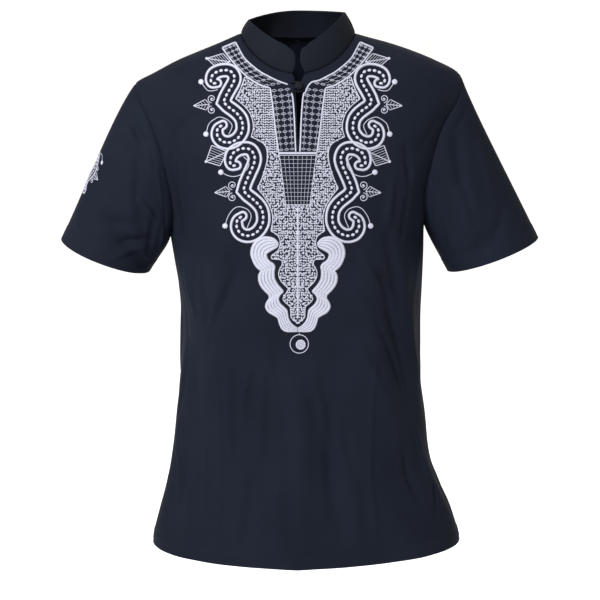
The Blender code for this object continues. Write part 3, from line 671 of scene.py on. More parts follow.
def inner_boundary(side, face):
    """Angle and height up the centre line and the slit, then along the neckline to the shoulder seam."""
    row = ROW_AT_ARMPIT[face]
    turn = np.linspace(0, math.pi / 2, UP_NECKLINE + 1)
    neck_angle, neck_height = neckline(side, face, turn)
    centre = from_hem(HEM_CENTRE, row, UP_SIDE)
    if face == BACK:
        above = np.linspace(row, neck_height[0], UP_ARMHOLE - UP_NECKLINE + 1)[1:-1]
        return (
            np.concatenate([np.zeros(len(centre) + len(above)), neck_angle]),
            np.concatenate([centre, above, neck_height]),
        )
    slit_angle, slit_height = slit(side)
    below = np.linspace(row, slit_height[0], BELOW_SLIT + 1)[1:-1]
    return (
        np.concatenate([np.zeros(len(centre) + len(below)), slit_angle, neck_angle]),
        np.concatenate([centre, below, slit_height, neck_height]),
    )


def half_panel(side, face):
    """Points of half a front or back: rows from the hem up, each from the side inwards."""
    outer_angle, outer_height = outer_boundary(side, face)
    inner_angle, inner_height = inner_boundary(side, face)
    inside = np.linspace(EDGE_COLUMNS[-1], 1, ACROSS - len(EDGE_COLUMNS) + 2)[1:]
    share = np.concatenate([EDGE_COLUMNS, inside])
    angle = outer_angle[:, None] * (1 - share) + inner_angle[:, None] * share
    height = outer_height[:, None] * (1 - share) + inner_height[:, None] * share
    return torso_point(angle, height, face)


def armhole_loop(panels, side):
    """The armhole's points, from the shoulder tip down the front to the armpit and up the back."""
    front = panels[side, FRONT][ARMPIT_ROW:, 0][::-1]
    back = panels[side, BACK][ARMPIT_ROW:, 0]
    return np.concatenate([front, back[1:-1]])


def armhole_turns(loop):
    """The turn of each point round the armhole, half a turn at the armpit."""
    run = lengths(closed_ring(loop))
    under = len(loop) // 2
    down = run[: under + 1] / run[under] * math.pi
    up = math.pi + (run[under:] - run[under]) / (run[-1] - run[under]) * math.pi
    return np.append(down, up[1:-1])


def cuff_ring(side, turn):
    """Points round the cuff, from its outer end by way of the front."""
    outer, inner = np.array(CUFF_OUTER[side]), np.array(CUFF_INNER[side])
    middle, half = (outer + inner) / 2, (outer - inner) / 2
    forward = np.array([0.0, -CUFF_HALF_DEPTH, -CUFF_FRONT_DROOP[side]])
    return middle + np.cos(turn)[:, None] * half + np.sin(turn)[:, None] * forward


def sleeve_start(side, turn, length):
    """Direction and firmness with which the cloth leaves the armhole, blended round it."""
    rows = {name: np.array(row) for name, row in SLEEVE_START.items()}
    word = SIDE_NAME[side]
    cosine, sine = np.cos(turn)[:, None], np.sin(turn)[:, None]
    ends = np.where(cosine > 0, rows[word + " top"], rows[word + " under"])
    sides = np.where(sine > 0, rows["front"], rows["back"])
    blend = cosine**2 * ends + sine**2 * sides
    direction = blend[:, :3] * (side, 1, 1)
    return direction * blend[:, 3:] * length


def sleeve_shares():
    """Shares of the sleeve's length at which it has a ring, close together at both ends."""
    cuff = 1 - np.array(CUFF_ROWS)
    middle = np.linspace(SLEEVE_EDGE_ROWS[-1], cuff[0], ALONG_SLEEVE)[1:-1]
    return np.concatenate([SLEEVE_EDGE_ROWS, middle, cuff])


def sleeve(side, loop):
    """Points of a sleeve: rings from the armhole to the cuff, and the turn of their points."""
    turn = armhole_turns(loop)
    cuff = cuff_ring(side, turn)
    chord = cuff - loop
    start = sleeve_start(side, turn, np.linalg.norm(chord, axis=1)[:, None])
    folds = SLEEVE_FOLDS + FINE_SLEEVE_FOLDS
    rings = []
    for share in sleeve_shares():
        ease = share * share * (3 - 2 * share) + share * share * (share - 1)
        ring = loop + chord * ease + start * share * (1 - share) ** 2
        centre = loop.mean(axis=0) * (1 - share) + cuff.mean(axis=0) * share
        across, along = turn * SLEEVE_FOLD_RADIUS, share * SLEEVE_FOLD_LENGTH
        rise = folds_rise(across, along, folds, side, SLEEVE_FOLD_RADIUS, SLEEVE_FOLD_LENGTH)
        fade = min(1.0, share / SLEEVE_FOLDS_START)
        rings.append(ring + unit(ring - centre) * (rise * fade)[:, None])
    return np.array(rings), turn


def collar_quarter(panels, side, face):
    """Points of a quarter of the collar: rows upwards, each from the centre to the shoulder seam."""
    foot = panels[side, face][-UP_NECKLINE - 1 :, -1]
    turn = np.linspace(0, math.pi / 2, UP_NECKLINE + 1)
    sine = np.sin(turn)
    x = side * COLLAR_TOP_HALF_WIDTH[side] * sine
    y = face * COLLAR_TOP_DEPTH[face] * np.cos(turn)
    side_height = COLLAR_SIDE_HEIGHT[side]
    centre_height = COLLAR_FRONT_HEIGHT[side] if face == FRONT else COLLAR_BACK_HEIGHT
    z = centre_height + (side_height - centre_height) * sine ** COLLAR_TOP_CURVE[face]
    top = np.stack([x, y, z], axis=-1)
    outward = np.stack([side * sine, face * np.cos(turn), np.zeros_like(turn)], axis=-1)
    share = np.linspace(0, 1, UP_COLLAR + 1)
    rows = [
        foot * (1 - s) + top * s + outward * COLLAR_BOW * math.sin(math.pi * s) for s in share
    ]
    grid = np.array(rows)
    if face == FRONT:
        edge = side * smooth_columns(COLLAR_FRONT_EDGES, share)[:, SIDE_COLUMN[side]]
        for row, at, s in zip(grid, edge, share):
            plain = NECK_HALF_WIDTH * sine * (1 - s) + COLLAR_TOP_HALF_WIDTH[side] * sine * s
            row[:, 0] = side * past_edge(plain, at)
    return grid


def grid_faces(points, closed=False, flip=False):
    """Corner indices of the faces of a grid of points."""
    rows, columns = points.shape[:2]
    last = columns if closed else columns - 1
    i, j = np.meshgrid(np.arange(rows - 1), np.arange(last), indexing="ij")
    i, j = i.ravel(), j.ravel()
    k = (j + 1) % columns
    faces = np.stack([i * columns + j, i * columns + k, (i + 1) * columns + k, (i + 1) * columns + j], 1)
    return faces[:, ::-1] if flip else faces


def closed_ring(points):
    """The points, with the first one again at the end."""
    return np.concatenate([points, points[:1]])


def looped_faces(grid):
    """Faces of a tube of points whose last ring is joined to its first."""
    return grid_faces(closed_ring(grid), closed=True) % (grid.shape[0] * grid.shape[1])


def capped_faces(grid):
    """Faces of a tube of points with a lid at each end."""
    rows, around = grid.shape[:2]
    last = (rows - 1) * around
    lids = [list(range(around))[::-1], list(range(last, last + around))]
    return grid_faces(grid, closed=True).tolist() + lids


def without_repeats(faces):
    """The faces as lists, each corner named once."""
    return [list(dict.fromkeys(face)) for face in faces]


def same_places(points):
    """The number of each point's place, and the first point at each place."""
    keys = np.round(points * PLACES_PER_METRE).astype(np.int64)
    _, chosen, number = np.unique(keys, axis=0, return_index=True, return_inverse=True)
    return number.ravel(), chosen


def grid_normals(grid):
    """Normals of a grid of points."""
    return unit(np.cross(np.gradient(grid, axis=0), np.gradient(grid, axis=1)))


def outward_normals(grid, outward):
    """Normals of a grid of points, turned to the side of the outward vectors."""
    normals = grid_normals(grid)
    facing = (normals * outward).sum(axis=-1, keepdims=True)
    return np.where(facing < 0, -normals, normals)


def cloth_coordinates(grid):
    """Distances across and up the cloth at a grid's points, for its weave."""
    across = np.cumsum(np.linalg.norm(np.diff(grid, axis=1), axis=2), axis=1)
    up = np.cumsum(np.linalg.norm(np.diff(grid, axis=0), axis=2), axis=0)
    across = np.pad(across, ((0, 0), (1, 0)))
    up = np.pad(up, ((1, 0), (0, 0)))
    return np.stack([across, up, np.zeros_like(up)], axis=-1)


def joined(grids):
    """One surface from several grids, each (points, closed, flip), with the points they share made one."""
    points = np.concatenate([grid.reshape(-1, 3) for grid, closed, flip in grids])
    weave = np.concatenate([cloth_coordinates(grid).reshape(-1, 3) for grid, closed, flip in grids])
    faces, first = [], 0
    for grid, closed, flip in grids:
        faces.append(grid_faces(grid, closed, flip) + first)
        first += grid.shape[0] * grid.shape[1]
    number, chosen = same_places(points)
    faces = without_repeats(number[np.concatenate(faces)].tolist())
    return points[chosen], [face for face in faces if len(face) > 2], weave[chosen]


def unit(vectors):
    """The vectors at length 1."""
    return vectors / np.maximum(np.linalg.norm(vectors, axis=-1, keepdims=True), TINY)


def point_normals(points, faces):
    """The sum of the face normals round each point, at length 1."""
    four = np.array([face if len(face) == 4 else face + face[-1:] for face in faces])
    a, b, c, d = (points[four[:, i]] for i in range(4))
    vectors = np.cross(c - a, d - b)
    sums = np.zeros_like(points)
    for corner in range(4):
        np.add.at(sums, four[:, corner], vectors)
    return unit(sums)


def boundary_edges(faces):
    """The directed edges that only one face has."""
    directed = {(a, b) for face in faces for a, b in zip(face, face[1:] + face[:1])}
    return sorted(edge for edge in directed if edge[::-1] not in directed)


def near_line(points, line, reach):
    """Distance of each point to the points of a line, no more than reach."""
    distance = np.full(len(points), reach)
    low, high = line.min(axis=0) - reach, line.max(axis=0) + reach
    close = np.where(((points > low) & (points < high)).all(axis=1))[0]
    a, b = line[:-1], line[1:]
    run = b - a
    length = np.maximum((run**2).sum(axis=1), TINY)
    for part in np.array_split(close, max(1, len(close) // POINTS_AT_ONCE)):
        away = points[part][:, None, :] - a
        share = np.clip((away * run).sum(axis=2) / length, 0, 1)
        gap = np.linalg.norm(away - share[..., None] * run, axis=2).min(axis=1)
        distance[part] = np.minimum(distance[part], gap)
    return distance


def make_material(name, colour, roughness, nodes):
    """A material whose nodes function adds its pattern and bump."""
    material = bpy.data.materials.new(name)
    material.use_nodes = True
    tree = material.node_tree
    shader = tree.nodes["Principled BSDF"]
    shader.inputs["Base Color"].default_value = (*colour, 1.0)
    shader.inputs["Roughness"].default_value = roughness
    nodes(tree, shader, colour)
    return material


def add_node(tree, kind, links=(), **values):
    """A node with these properties and inputs, linked from (socket name, output) pairs."""
    node = tree.nodes.new(kind)
    for name, value in values.items():
        if name in node.inputs:
            node.inputs[name].default_value = value
        else:
            setattr(node, name, value)
    for name, output in links:
        tree.links.new(output, node.inputs[name])
    return node


def math_node(tree, operation, first, second=0.0):
    """The output of a Math node, each input an output socket or a number."""
    node = tree.nodes.new("ShaderNodeMath")
    node.operation = operation
    for socket, value in zip(node.inputs, (first, second)):
        if isinstance(value, (int, float)):
            socket.default_value = value
        else:
            tree.links.new(value, socket)
    return node.outputs[0]


def coordinates(tree, name):
    """The three parts of the vectors with this name on a piece's points."""
    own = add_node(tree, "ShaderNodeAttribute", attribute_name=name)
    parts = add_node(tree, "ShaderNodeSeparateXYZ", [("Vector", own.outputs["Vector"])])
    return [parts.outputs[axis] for axis in "XYZ"]


def wave(tree, distance, pitch, shift=0.0):
    """A sine of this pitch along a distance."""
    turns = math_node(tree, "MULTIPLY", distance, 2 * math.pi / pitch)
    return math_node(tree, "SINE", math_node(tree, "ADD", turns, shift))


def noise(tree, scale, detail):
    """Noise in the object's own coordinates."""
    place = add_node(tree, "ShaderNodeTexCoord").outputs["Object"]
    node = add_node(tree, "ShaderNodeTexNoise", [("Vector", place)], Scale=scale, Detail=detail)
    return node.outputs["Fac"]


def bumped(tree, shader, height, **values):
    """Gives a shader the relief of this height."""
    bump = add_node(tree, "ShaderNodeBump", [("Height", height)], **values)
    tree.links.new(bump.outputs["Normal"], shader.inputs["Normal"])


def shaded(tree, shader, amount, colour, scales, ends=(0.0, 1.0)):
    """Gives a shader its colour, scaled from one factor to the other as the amount runs between ends."""
    ramp = add_node(tree, "ShaderNodeValToRGB", [("Fac", amount)])
    for element, scale, end in zip(ramp.color_ramp.elements, scales, ends):
        element.position = end
        element.color = (*(c * scale for c in colour), 1.0)
    tree.links.new(ramp.outputs["Color"], shader.inputs["Base Color"])


def cloth_nodes(tree, shader, colour):
    """Plain weave in the cloth's own coordinates, with uneven threads, soft sheen and slight blotches."""
    across, up, _ = coordinates(tree, "weave")
    wobble = math_node(tree, "MULTIPLY", noise(tree, DRIFT_SCALE, 3.0), WEAVE_WOBBLE)
    warp = wave(tree, across, WEAVE_PITCH, wobble)
    weft = wave(tree, up, WEAVE_PITCH, wobble)
    woven = math_node(tree, "MULTIPLY", math_node(tree, "MULTIPLY", warp, weft), WEAVE_SHARE)
    height = math_node(tree, "ADD", woven, noise(tree, SLUB_SCALE, 4.0))
    bumped(tree, shader, height, Strength=WEAVE_BUMP, Distance=WEAVE_RELIEF)
    shaded(tree, shader, noise(tree, BLOTCH_SCALE, 5.0), colour, BLOTCH_SHADES, BLOTCH_RANGE)
    shader.inputs["Sheen Weight"].default_value = 0.002
    shader.inputs["Sheen Roughness"].default_value = 0.45
    shader.inputs["Sheen Tint"].default_value = (0.55, 0.62, 0.85, 1.0)
    shader.inputs["Specular IOR Level"].default_value = 0.03


def mesh_object(name, points, faces, material, attributes=()):
    """An object of these points and faces, with named vectors on its points, shaded smooth."""
    data = bpy.data.meshes.new(name)
    data.from_pydata(np.asarray(points).tolist(), [], faces)
    for label, values in attributes:
        layer = data.attributes.new(label, "FLOAT_VECTOR", "POINT")
        layer.data.foreach_set("vector", np.asarray(values, np.float32).ravel())
    data.materials.append(material)
    data.shade_smooth()
    item = bpy.data.objects.new(name, data)
    bpy.context.scene.collection.objects.link(item)
    return item


def cloth_piece(name, surface, normals, thickness, material, raised):
    """A closed wall of cloth, its outer surface moved out by raised along its normals."""
    points, faces, weave = surface
    outer = points + normals * raised[:, None]
    inner = points - normals * (thickness + np.maximum(-raised, 0))[:, None]
    count = len(points)
    everything = list(faces)
    everything += [[corner + count for corner in reversed(face)] for face in faces]
    everything += [[b, a, a + count, b + count] for a, b in boundary_edges(faces)]
    return mesh_object(
        name,
        np.concatenate([outer, inner]),
        everything,
        material,
        [("weave", np.concatenate([weave, weave]))],
    )


def shared_normals(surfaces):
    """For every surface its points' normals, shared across seams, and how far each is a sharp corner's."""
    own = {name: point_normals(points, faces) for name, (points, faces, _) in surfaces.items()}
    stacked = np.concatenate([own[name] for name in surfaces])
    number, _ = same_places(np.concatenate([surfaces[name][0] for name in surfaces]))
    sums = np.zeros((number.max() + 1, 3))
    np.add.at(sums, number, stacked)
    ours = unit(sums)[number]
    apart = np.degrees(np.arccos(np.clip((stacked * ours).sum(axis=1), -1, 1)))
    weight = np.clip((apart - CORNER_START) / CORNER_BLEND, 0, 1)[:, None]
    blended = unit(ours * (1 - weight) + stacked * weight)
    normals, corners, first = {}, {}, 0
    for name in surfaces:
        count = len(surfaces[name][0])
        normals[name] = blended[first : first + count]
        corners[name] = weight[first : first + count, 0]
        first += count
    return normals, corners


def seam_groove(points, seams, corner):
    """How far points dip at the seams. In a sharp corner a groove would part the two edges."""
    gap = np.full(len(points), 1.0)
    for line in seams:
        gap = np.minimum(gap, near_line(points, line, GROOVE_WIDTH * 4))
    groove = -GROOVE_DEPTH * np.exp(-((gap / GROOVE_WIDTH) ** 2))
    return np.where(corner > 0, 0.0, groove)


def hem_rise(points, line, band):
    """A hem's extra thickness within a band along a line, which ends in a short slope."""
    distance = near_line(points, line, band * 2)
    return HEM_RISE * np.clip((band - distance) / HEM_SLOPE + 0.5, 0, 1)


def cloth_surfaces(panels, sleeves):
    """The outer surface of each cloth node, as {node: (points, faces, weave)}."""
    surfaces = {}
    for face, name in FACE_NAME.items():
        surfaces[name] = joined([(panels[side, face], False, side * face < 0) for side in SIDE_NAME])
    for side, name in SIDE_NAME.items():
        surfaces["sleeve_" + name] = joined([(sleeves[side][0], True, side == LEFT)])
    quarters = [
        (collar_quarter(panels, side, face), False, side * face > 0)
        for side in SIDE_NAME
        for face in FACE_NAME
    ]
    surfaces["collar"] = joined(quarters)
    return surfaces


def seams_and_hems(panels, sleeves):
    """The lines of all seams, and those of each node's hems and cuffs."""
    seams, hems = [], {"front": [], "back": [], "collar": []}
    for side in SIDE_NAME:
        front = panels[side, FRONT]
        seams += [front[: ARMPIT_ROW + 1, 0], closed_ring(armhole_loop(panels, side)), front[-1]]
        for face, name in FACE_NAME.items():
            seams.append(panels[side, face][-UP_NECKLINE - 1 :, -1])
            hems[name].append(panels[side, face][0])
        hems["sleeve_" + SIDE_NAME[side]] = [closed_ring(sleeves[side][0][-1])]
    return seams, hems


def build_cloth():
    """All cloth pieces, as {node: object}, and what the stitching and embroidery need of them."""
    panels = {(side, face): half_panel(side, face) for side in SIDE_NAME for face in FACE_NAME}
    sleeves = {side: sleeve(side, armhole_loop(panels, side)) for side in SIDE_NAME}
    surfaces = cloth_surfaces(panels, sleeves)
    normals, corners = shared_normals(surfaces)
    seams, hems = seams_and_hems(panels, sleeves)
    cloth = make_material("navy_black_cloth", CLOTH_COLOUR, CLOTH_ROUGHNESS, cloth_nodes)
    collar_cloth = make_material("navy_black_collar_cloth", COLLAR_COLOUR, COLLAR_ROUGHNESS, cloth_nodes)
    pieces = {}
    for name, surface in surfaces.items():
        raised = seam_groove(surface[0], seams, corners[name])
        for line in hems[name]:
            raised += hem_rise(surface[0], line, CUFF_BAND if name.startswith("sleeve") else HEM_BAND)
        is_collar = name == "collar"
        thickness = COLLAR_CLOTH if is_collar else CLOTH
        material = collar_cloth if is_collar else cloth
        pieces[name] = cloth_piece("cloth_" + name, surface, normals[name], thickness, material, raised)
        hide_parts(name)
        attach(pieces[name], "root")
    return pieces, panels, sleeves


class Drawing:
    """Embroidery elements gathered as points, faces and thread coordinates."""

    def __init__(self):
        self.points, self.faces, self.thread, self.count = [], [], [], 0

    def add(self, points, faces, thread):
        """Adds one element."""
        self.points.append(points)
        self.thread.append(thread)
        self.faces.extend((np.array(faces, dtype=int) + self.count).tolist())
        self.count += len(points)

    def add_mirrored(self, other):
        """Adds all of another drawing, and its mirror image across the centre line."""
        points, thread = np.concatenate(other.points), np.concatenate(other.thread)
        for side in (1, -1):
            first = self.count
            self.points.append(points * (side, 1, 1))
            self.thread.append(thread)
            self.faces.extend([corner + first for corner in face] for face in other.faces)
            self.count += len(points)


def smooth_line(points):
    """A smooth open line through the points."""
    p = np.array(points, float)
    p = np.vstack([2 * p[0] - p[1], p, 2 * p[-1] - p[-2]])
    t = (np.arange(LINE_STEPS) / LINE_STEPS)[None, :, None]
    a, b, c, d = (p[i : len(p) - 3 + i, None, :] for i in range(4))
    curve = 0.5 * (
        2 * b + (c - a) * t + (2 * a - 5 * b + 4 * c - d) * t**2 + (3 * b - a - 3 * c + d) * t**3
    )
    return np.vstack([curve.reshape(-1, 2), p[-2:-1]])


def lengths(path):
    """The distance along a line at each of its points."""
    return np.append(0, np.cumsum(np.linalg.norm(np.diff(path, axis=0), axis=1)))


def at_lengths(at, path, values=None):
    """A line's points at these distances along it, or what values of its points are there."""
    run = lengths(path)
    values = path if values is None else values
    return np.stack([np.interp(at, run, column) for column in values.T], axis=-1)


def middles(count):
    """The middles of this many equal shares of 1."""
    return (np.arange(count) + 0.5) / count


def evenly(path, step=None, count=None, closed=False):
    """A line's points at even distances."""
    path = closed_ring(path) if closed else np.asarray(path, float)
    length = lengths(path)[-1]
    count = count or max(2, int(round(length / step)) + 1)
    at = np.linspace(0, length, count)
    return at_lengths(at[:-1] if closed else at, path)


def headings(path, closed=False):
    """Unit vectors along a line at its points."""
    if closed:
        return unit(np.roll(path, -1, axis=0) - np.roll(path, 1, axis=0))
    return unit(np.gradient(path, axis=0))


def left_of(vectors):
    """The vectors, turned a quarter."""
    return np.stack([-vectors[:, 1], vectors[:, 0]], axis=1)


def cord(drawing, path, width, height, closed=False, step=CORD_STEP):
    """A raised line of satin stitches. The width is a number, or one for each point of a finished path."""
    if np.ndim(width) == 0:
        path = evenly(path, step, closed=closed) if step else np.asarray(path, float)
        width = np.full(len(path), width)
    half, tall = width / 2, np.full(len(path), height)
    if not closed:
        half[[0, -1]] *= CORD_END_WIDTH
        tall[[0, -1]] *= CORD_END_HEIGHT
    sideways, up = CORD_SECTION.T
    across = left_of(headings(path, closed))
    points = np.zeros((len(path), len(CORD_SECTION), 3))
    points[..., :2] = path[:, None] + across[:, None] * (half[:, None] * sideways)[..., None]
    points[..., 2] = tall[:, None] * up
    thread = np.zeros_like(points)
    thread[..., 0] = lengths(path)[:, None]
    thread[..., 1] = half[:, None] * sideways
    # The third thread coordinate is painted shade, growing from the cord's crest towards its edges
    thread[..., 2] = np.abs(sideways) ** 2
    if closed:
        faces = looped_faces(points)
    else:
        lid = np.array(((0, 1, 2, 5), (2, 3, 4, 5)))
        last = (len(path) - 1) * len(CORD_SECTION)
        faces = np.vstack([grid_faces(points, closed=True), lid, last + lid[:, ::-1]])
    drawing.add(points.reshape(-1, 3), faces, thread.reshape(-1, 3))


def dome_template():
    """Points and faces of a dome of radius and height 1."""
    turn = np.arange(DOME_SIDES) / DOME_SIDES * 2 * math.pi
    rings = np.array([[(r * math.cos(a), r * math.sin(a), h) for a in turn] for r, h in DOME_PROFILE])
    points = np.vstack([rings.reshape(-1, 3), [(0.0, 0.0, 1.0), (0.0, 0.0, -0.2)]])
    top, under = len(points) - 2, len(points) - 1
    upper = top - DOME_SIDES
    faces = grid_faces(rings, closed=True).tolist()
    for j in range(DOME_SIDES):
        k = (j + 1) % DOME_SIDES
        faces.append([upper + j, upper + k, top, top])
        faces.append([k, j, under, under])
    return points, np.array(faces)


SEED_TEMPLATE = (
    np.array(
        (
            (-1.0, 0.0, 0.0), (-0.55, -1.0, 0.0), (0.55, -1.0, 0.0), (1.0, 0.0, 0.0),
            (0.55, 1.0, 0.0), (-0.55, 1.0, 0.0), (-0.5, 0.0, 1.0), (0.5, 0.0, 1.0),
        )
    ),
    np.array(
        (
            (1, 2, 7, 6), (4, 5, 6, 7), (0, 1, 6, 6), (5, 0, 6, 6),
            (2, 3, 7, 7), (3, 4, 7, 7), (1, 0, 5, 4), (1, 4, 3, 2),
        )
    ),
)
DOME_TEMPLATE = dome_template()


def repeated_faces(template, count):
    """The faces of this many copies of a template, one after another."""
    shape, faces = template
    return (faces[None] + (np.arange(count) * len(shape))[:, None, None]).reshape(-1, 4)


def stamp(drawing, template, places, directions, half_length, half_width, height):
    """Copies of a small raised shape at places, each along its direction."""
    shape = template[0]
    places, along = np.asarray(places, float), unit(np.asarray(directions, float))
    count = len(places)
    scale = np.stack([np.broadcast_to(v, count) for v in (half_length, half_width, height)], axis=1)
    local = shape[None] * scale[:, None]
    points = np.zeros_like(local)
    points[..., :2] = (
        places[:, None] + along[:, None] * local[..., :1] + left_of(along)[:, None] * local[..., 1:2]
    )
    points[..., 2] = local[..., 2]
    # Painted shade, strongest at the foot of each copy and none at its top
    rim = STAMP_RIM_SHADE * np.clip(1 - shape[:, 2], 0, 1) * np.ones((count, 1))
    thread = np.stack([local[..., 1], local[..., 0], rim], axis=-1)
    drawing.add(points.reshape(-1, 3), repeated_faces(template, count), thread.reshape(-1, 3))


def knob(drawing, place, radius, height):
    """A round padded dot."""
    stamp(drawing, DOME_TEMPLATE, [place], [KNOB_DIRECTION], radius, radius, height)


def beads(drawing, line, count, reach):
    """Evenly spaced beads along a line, each along the line's direction within a reach of it."""
    share = middles(count)
    along = on_line(line, np.clip(share + reach, 0, 1)) - on_line(line, np.clip(share - reach, 0, 1))
    size = (BEAD_HALF_LENGTH, BEAD_HALF_WIDTH, BEAD_HEIGHT)
    stamp(drawing, DOME_TEMPLATE, on_line(line, share), along, *size)


def on_line(path, share):
    """Points at shares of a line's length."""
    return at_lengths(np.asarray(share) * lengths(path)[-1], path)


def circle(centre, radius):
    """Points of a circle."""
    turn = np.linspace(0, 2 * math.pi, CIRCLE_POINTS, endpoint=False)
    return np.array(centre) + radius * np.stack([np.cos(turn), np.sin(turn)], axis=1)


def level_ends(line, share):
    """Points of a line at shares of its depth."""
    line = smooth_line(line)
    depth = line[0, 1] + share * (line[-1, 1] - line[0, 1])
    return np.stack([np.interp(depth, line[:, 1], line[:, 0]), depth], axis=1)


def lattice(drawing, inner, outer, columns, rows):
    """Level rows of ringed eyes between two lines, linked across, with a fine thread down each column."""
    near, far = (level_ends(line, middles(rows)) for line in (inner, outer))
    step = (far - near) / columns
    turn = np.linspace(0, 2 * math.pi, EYE_POINTS, endpoint=False)[:, None]
    for column in range(columns):
        eyes = near + (column + 0.5) * step
        for eye, along, across in zip(eyes, step, left_of(step)):
            ring = eye + EYE_LENGTH_SHARE * np.cos(turn) * along + EYE_WIDTH_SHARE * np.sin(turn) * across
            cord(drawing, ring, EYE_THREAD, EYE_HEIGHT, closed=True, step=EYE_STEP)
            for sign in (-1, 1):
                link = [eye + sign * EYE_LENGTH_SHARE * along, eye + sign * 0.5 * along]
                cord(drawing, link, LINK_WIDTH, LATTICE_HEIGHT)
        cord(drawing, eyes, LATTICE_WIDTH, LATTICE_HEIGHT, step=None)


def panel_line(drawing, line, is_edge):
    """One line of the checked panel, stronger at its edges."""
    if is_edge:
        cord(drawing, line, PANEL_EDGE_WIDTH, PANEL_EDGE_HEIGHT)
    else:
        cord(drawing, line, PANEL_LINE_WIDTH, FINE_HEIGHT)


def neck_and_placket(half, whole):
    """The bands round the neck and beside the slit, the bar under them and the checked panel."""
    for line in (NECK_OUTER, PLACKET_INNER, PLACKET_OUTER):
        cord(half, smooth_line(line), BORDER_WIDTH, BORDER_HEIGHT)
    cord(half, [NECK_OUTER[0], NECK_INNER[0]], BORDER_WIDTH, BORDER_HEIGHT)
    lattice(half, NECK_INNER, NECK_OUTER, *NECK_LATTICE)
    lattice(half, LATTICE_INNER, PLACKET_OUTER, *PLACKET_LATTICE)
    cord(whole, smooth_line(NECK_INNER), BORDER_WIDTH, BORDER_HEIGHT)
    round_corner = [(-across, down) for across, down in NECK_INNER[:-1]] + list(NECK_CORNER)
    cord(whole, smooth_line(round_corner), BORDER_WIDTH, BORDER_HEIGHT)
    cord(whole, [(-BAR_HALF_WIDTH, BAR_DEPTH), (BAR_HALF_WIDTH, BAR_DEPTH)], BAR_WIDTH, BORDER_HEIGHT)
    columns, rows = PANEL_CELLS
    for column in range(columns + 1):
        share = 2 * column / columns - 1
        line = [(share * PANEL_TOP_HALF_WIDTH, PANEL_TOP), (share * PANEL_BOTTOM_HALF_WIDTH, PANEL_BOTTOM)]
        panel_line(whole, line, column in (0, columns))
    for row in range(rows + 1):
        share = row / rows
        depth = PANEL_TOP * (1 - share) + PANEL_BOTTOM * share
        reach = PANEL_TOP_HALF_WIDTH * (1 - share) + PANEL_BOTTOM_HALF_WIDTH * share
        panel_line(whole, [(-reach, depth), (reach, depth)], row in (0, rows))


def band_width(path):
    """Half width of a scroll's band along its middle line, narrower at both ends."""
    run = lengths(path)
    end = np.clip(np.minimum(run, run[-1] - run) / BAND_END_REACH, 0, 1)
    end = end * end * (3 - 2 * end)
    return BAND_END_HALF_WIDTH + (BAND_HALF_WIDTH - BAND_END_HALF_WIDTH) * end


def band_outline(upper, lower):
    """The closed line round a band whose middle line is two arms that meet in a point."""
    middle = np.vstack([upper, lower[1:]])
    width = band_width(middle)
    split = len(upper)
    sides = []
    before, after = headings(upper)[-1:], headings(lower)[:1]
    for sign in (1, -1):
        first = upper + sign * left_of(headings(upper)) * width[:split, None]
        second = lower + sign * left_of(headings(lower)) * width[split - 1 :, None]
        bisector = unit(sign * (left_of(before) + left_of(after)))
        cosine = float((sign * left_of(before) * bisector).sum())
        corner = upper[-1] + bisector * (width[split - 1] / max(BAND_LEAST_COSINE, cosine))
        sides.append(np.vstack([first, corner, second]))
    turn = np.linspace(0, math.pi, BAND_CAP_POINTS)[1:-1, None]
    caps = []
    for end, away, radius in (
        (middle[-1], headings(lower)[-1:], width[-1]),
        (middle[0], -headings(upper)[:1], width[0]),
    ):
        caps.append(end + radius * (np.cos(turn) * left_of(away) + np.sin(turn) * away))
    around = np.vstack([sides[0], caps[0], sides[1][::-1], caps[1]])
    apart = np.linalg.norm(around[:, None] - middle[None], axis=2) - width
    return around[apart.min(axis=1) > -BAND_TOLERANCE]


def scroll(half, across, down, stretch, up_stretch, down_stretch):
    """A scroll's outline and the beads along its middle."""
    start = np.array((across, down), float)
    upper = evenly(smooth_line(np.array(UPPER_HOOK) * (stretch, up_stretch)) + start, 1.0)
    lower = evenly(smooth_line(np.array(LOWER_HOOK) * (stretch, down_stretch)) + start, 1.0)
    cord(half, band_outline(upper, lower), SATIN_WIDTH, SATIN_HEIGHT, closed=True)
    for arm in (upper, lower):
        beads(half, arm, int(round(lengths(arm)[-1] / BEAD_SPACING)), BEAD_REACH)


def curl(drawing, centre, radius, upright, turn_way):
    """A fine line that winds from a circle's top or foot to the knob at its centre."""
    share = np.linspace(0, 1, CURL_POINTS)
    turn = math.radians(90 * upright) + share * turn_way * CURL_TURNS * 2 * math.pi
    reach = radius * (1 - CURL_DEPTH * share)
    line = np.stack([centre[0] + reach * np.cos(turn), centre[1] + reach * np.sin(turn)], axis=1)
    cord(drawing, line, LINE_WIDTH, LINE_HEIGHT)
    knob(drawing, centre, CURL_KNOB_RADIUS, CURL_KNOB_HEIGHT)


def hatched(half, a, b, c, d, count):
    """Short lines across a leaf: from side a-b to side c-d, matched from the first corners on."""
    for share in (np.arange(count) + 1) / (count + 1):
        start = np.array(a) * (1 - share) + np.array(b) * share
        end = np.array(c) * (1 - share) + np.array(d) * share
        cord(half, [start, end], FINE_WIDTH, FINE_HEIGHT)


def arrow_leaf(drawing, tip, high, middle, low):
    """An arrow leaf: its outline, its middle line and the hatching on both sides of it."""
    for line in ((tip, high), (high, middle), (middle, low), (low, tip), (tip, middle)):
        cord(drawing, line, LINE_WIDTH, LINE_HEIGHT)
    for corner in (high, low):
        hatched(drawing, tip, corner, tip, middle, ARROW_HATCHES)


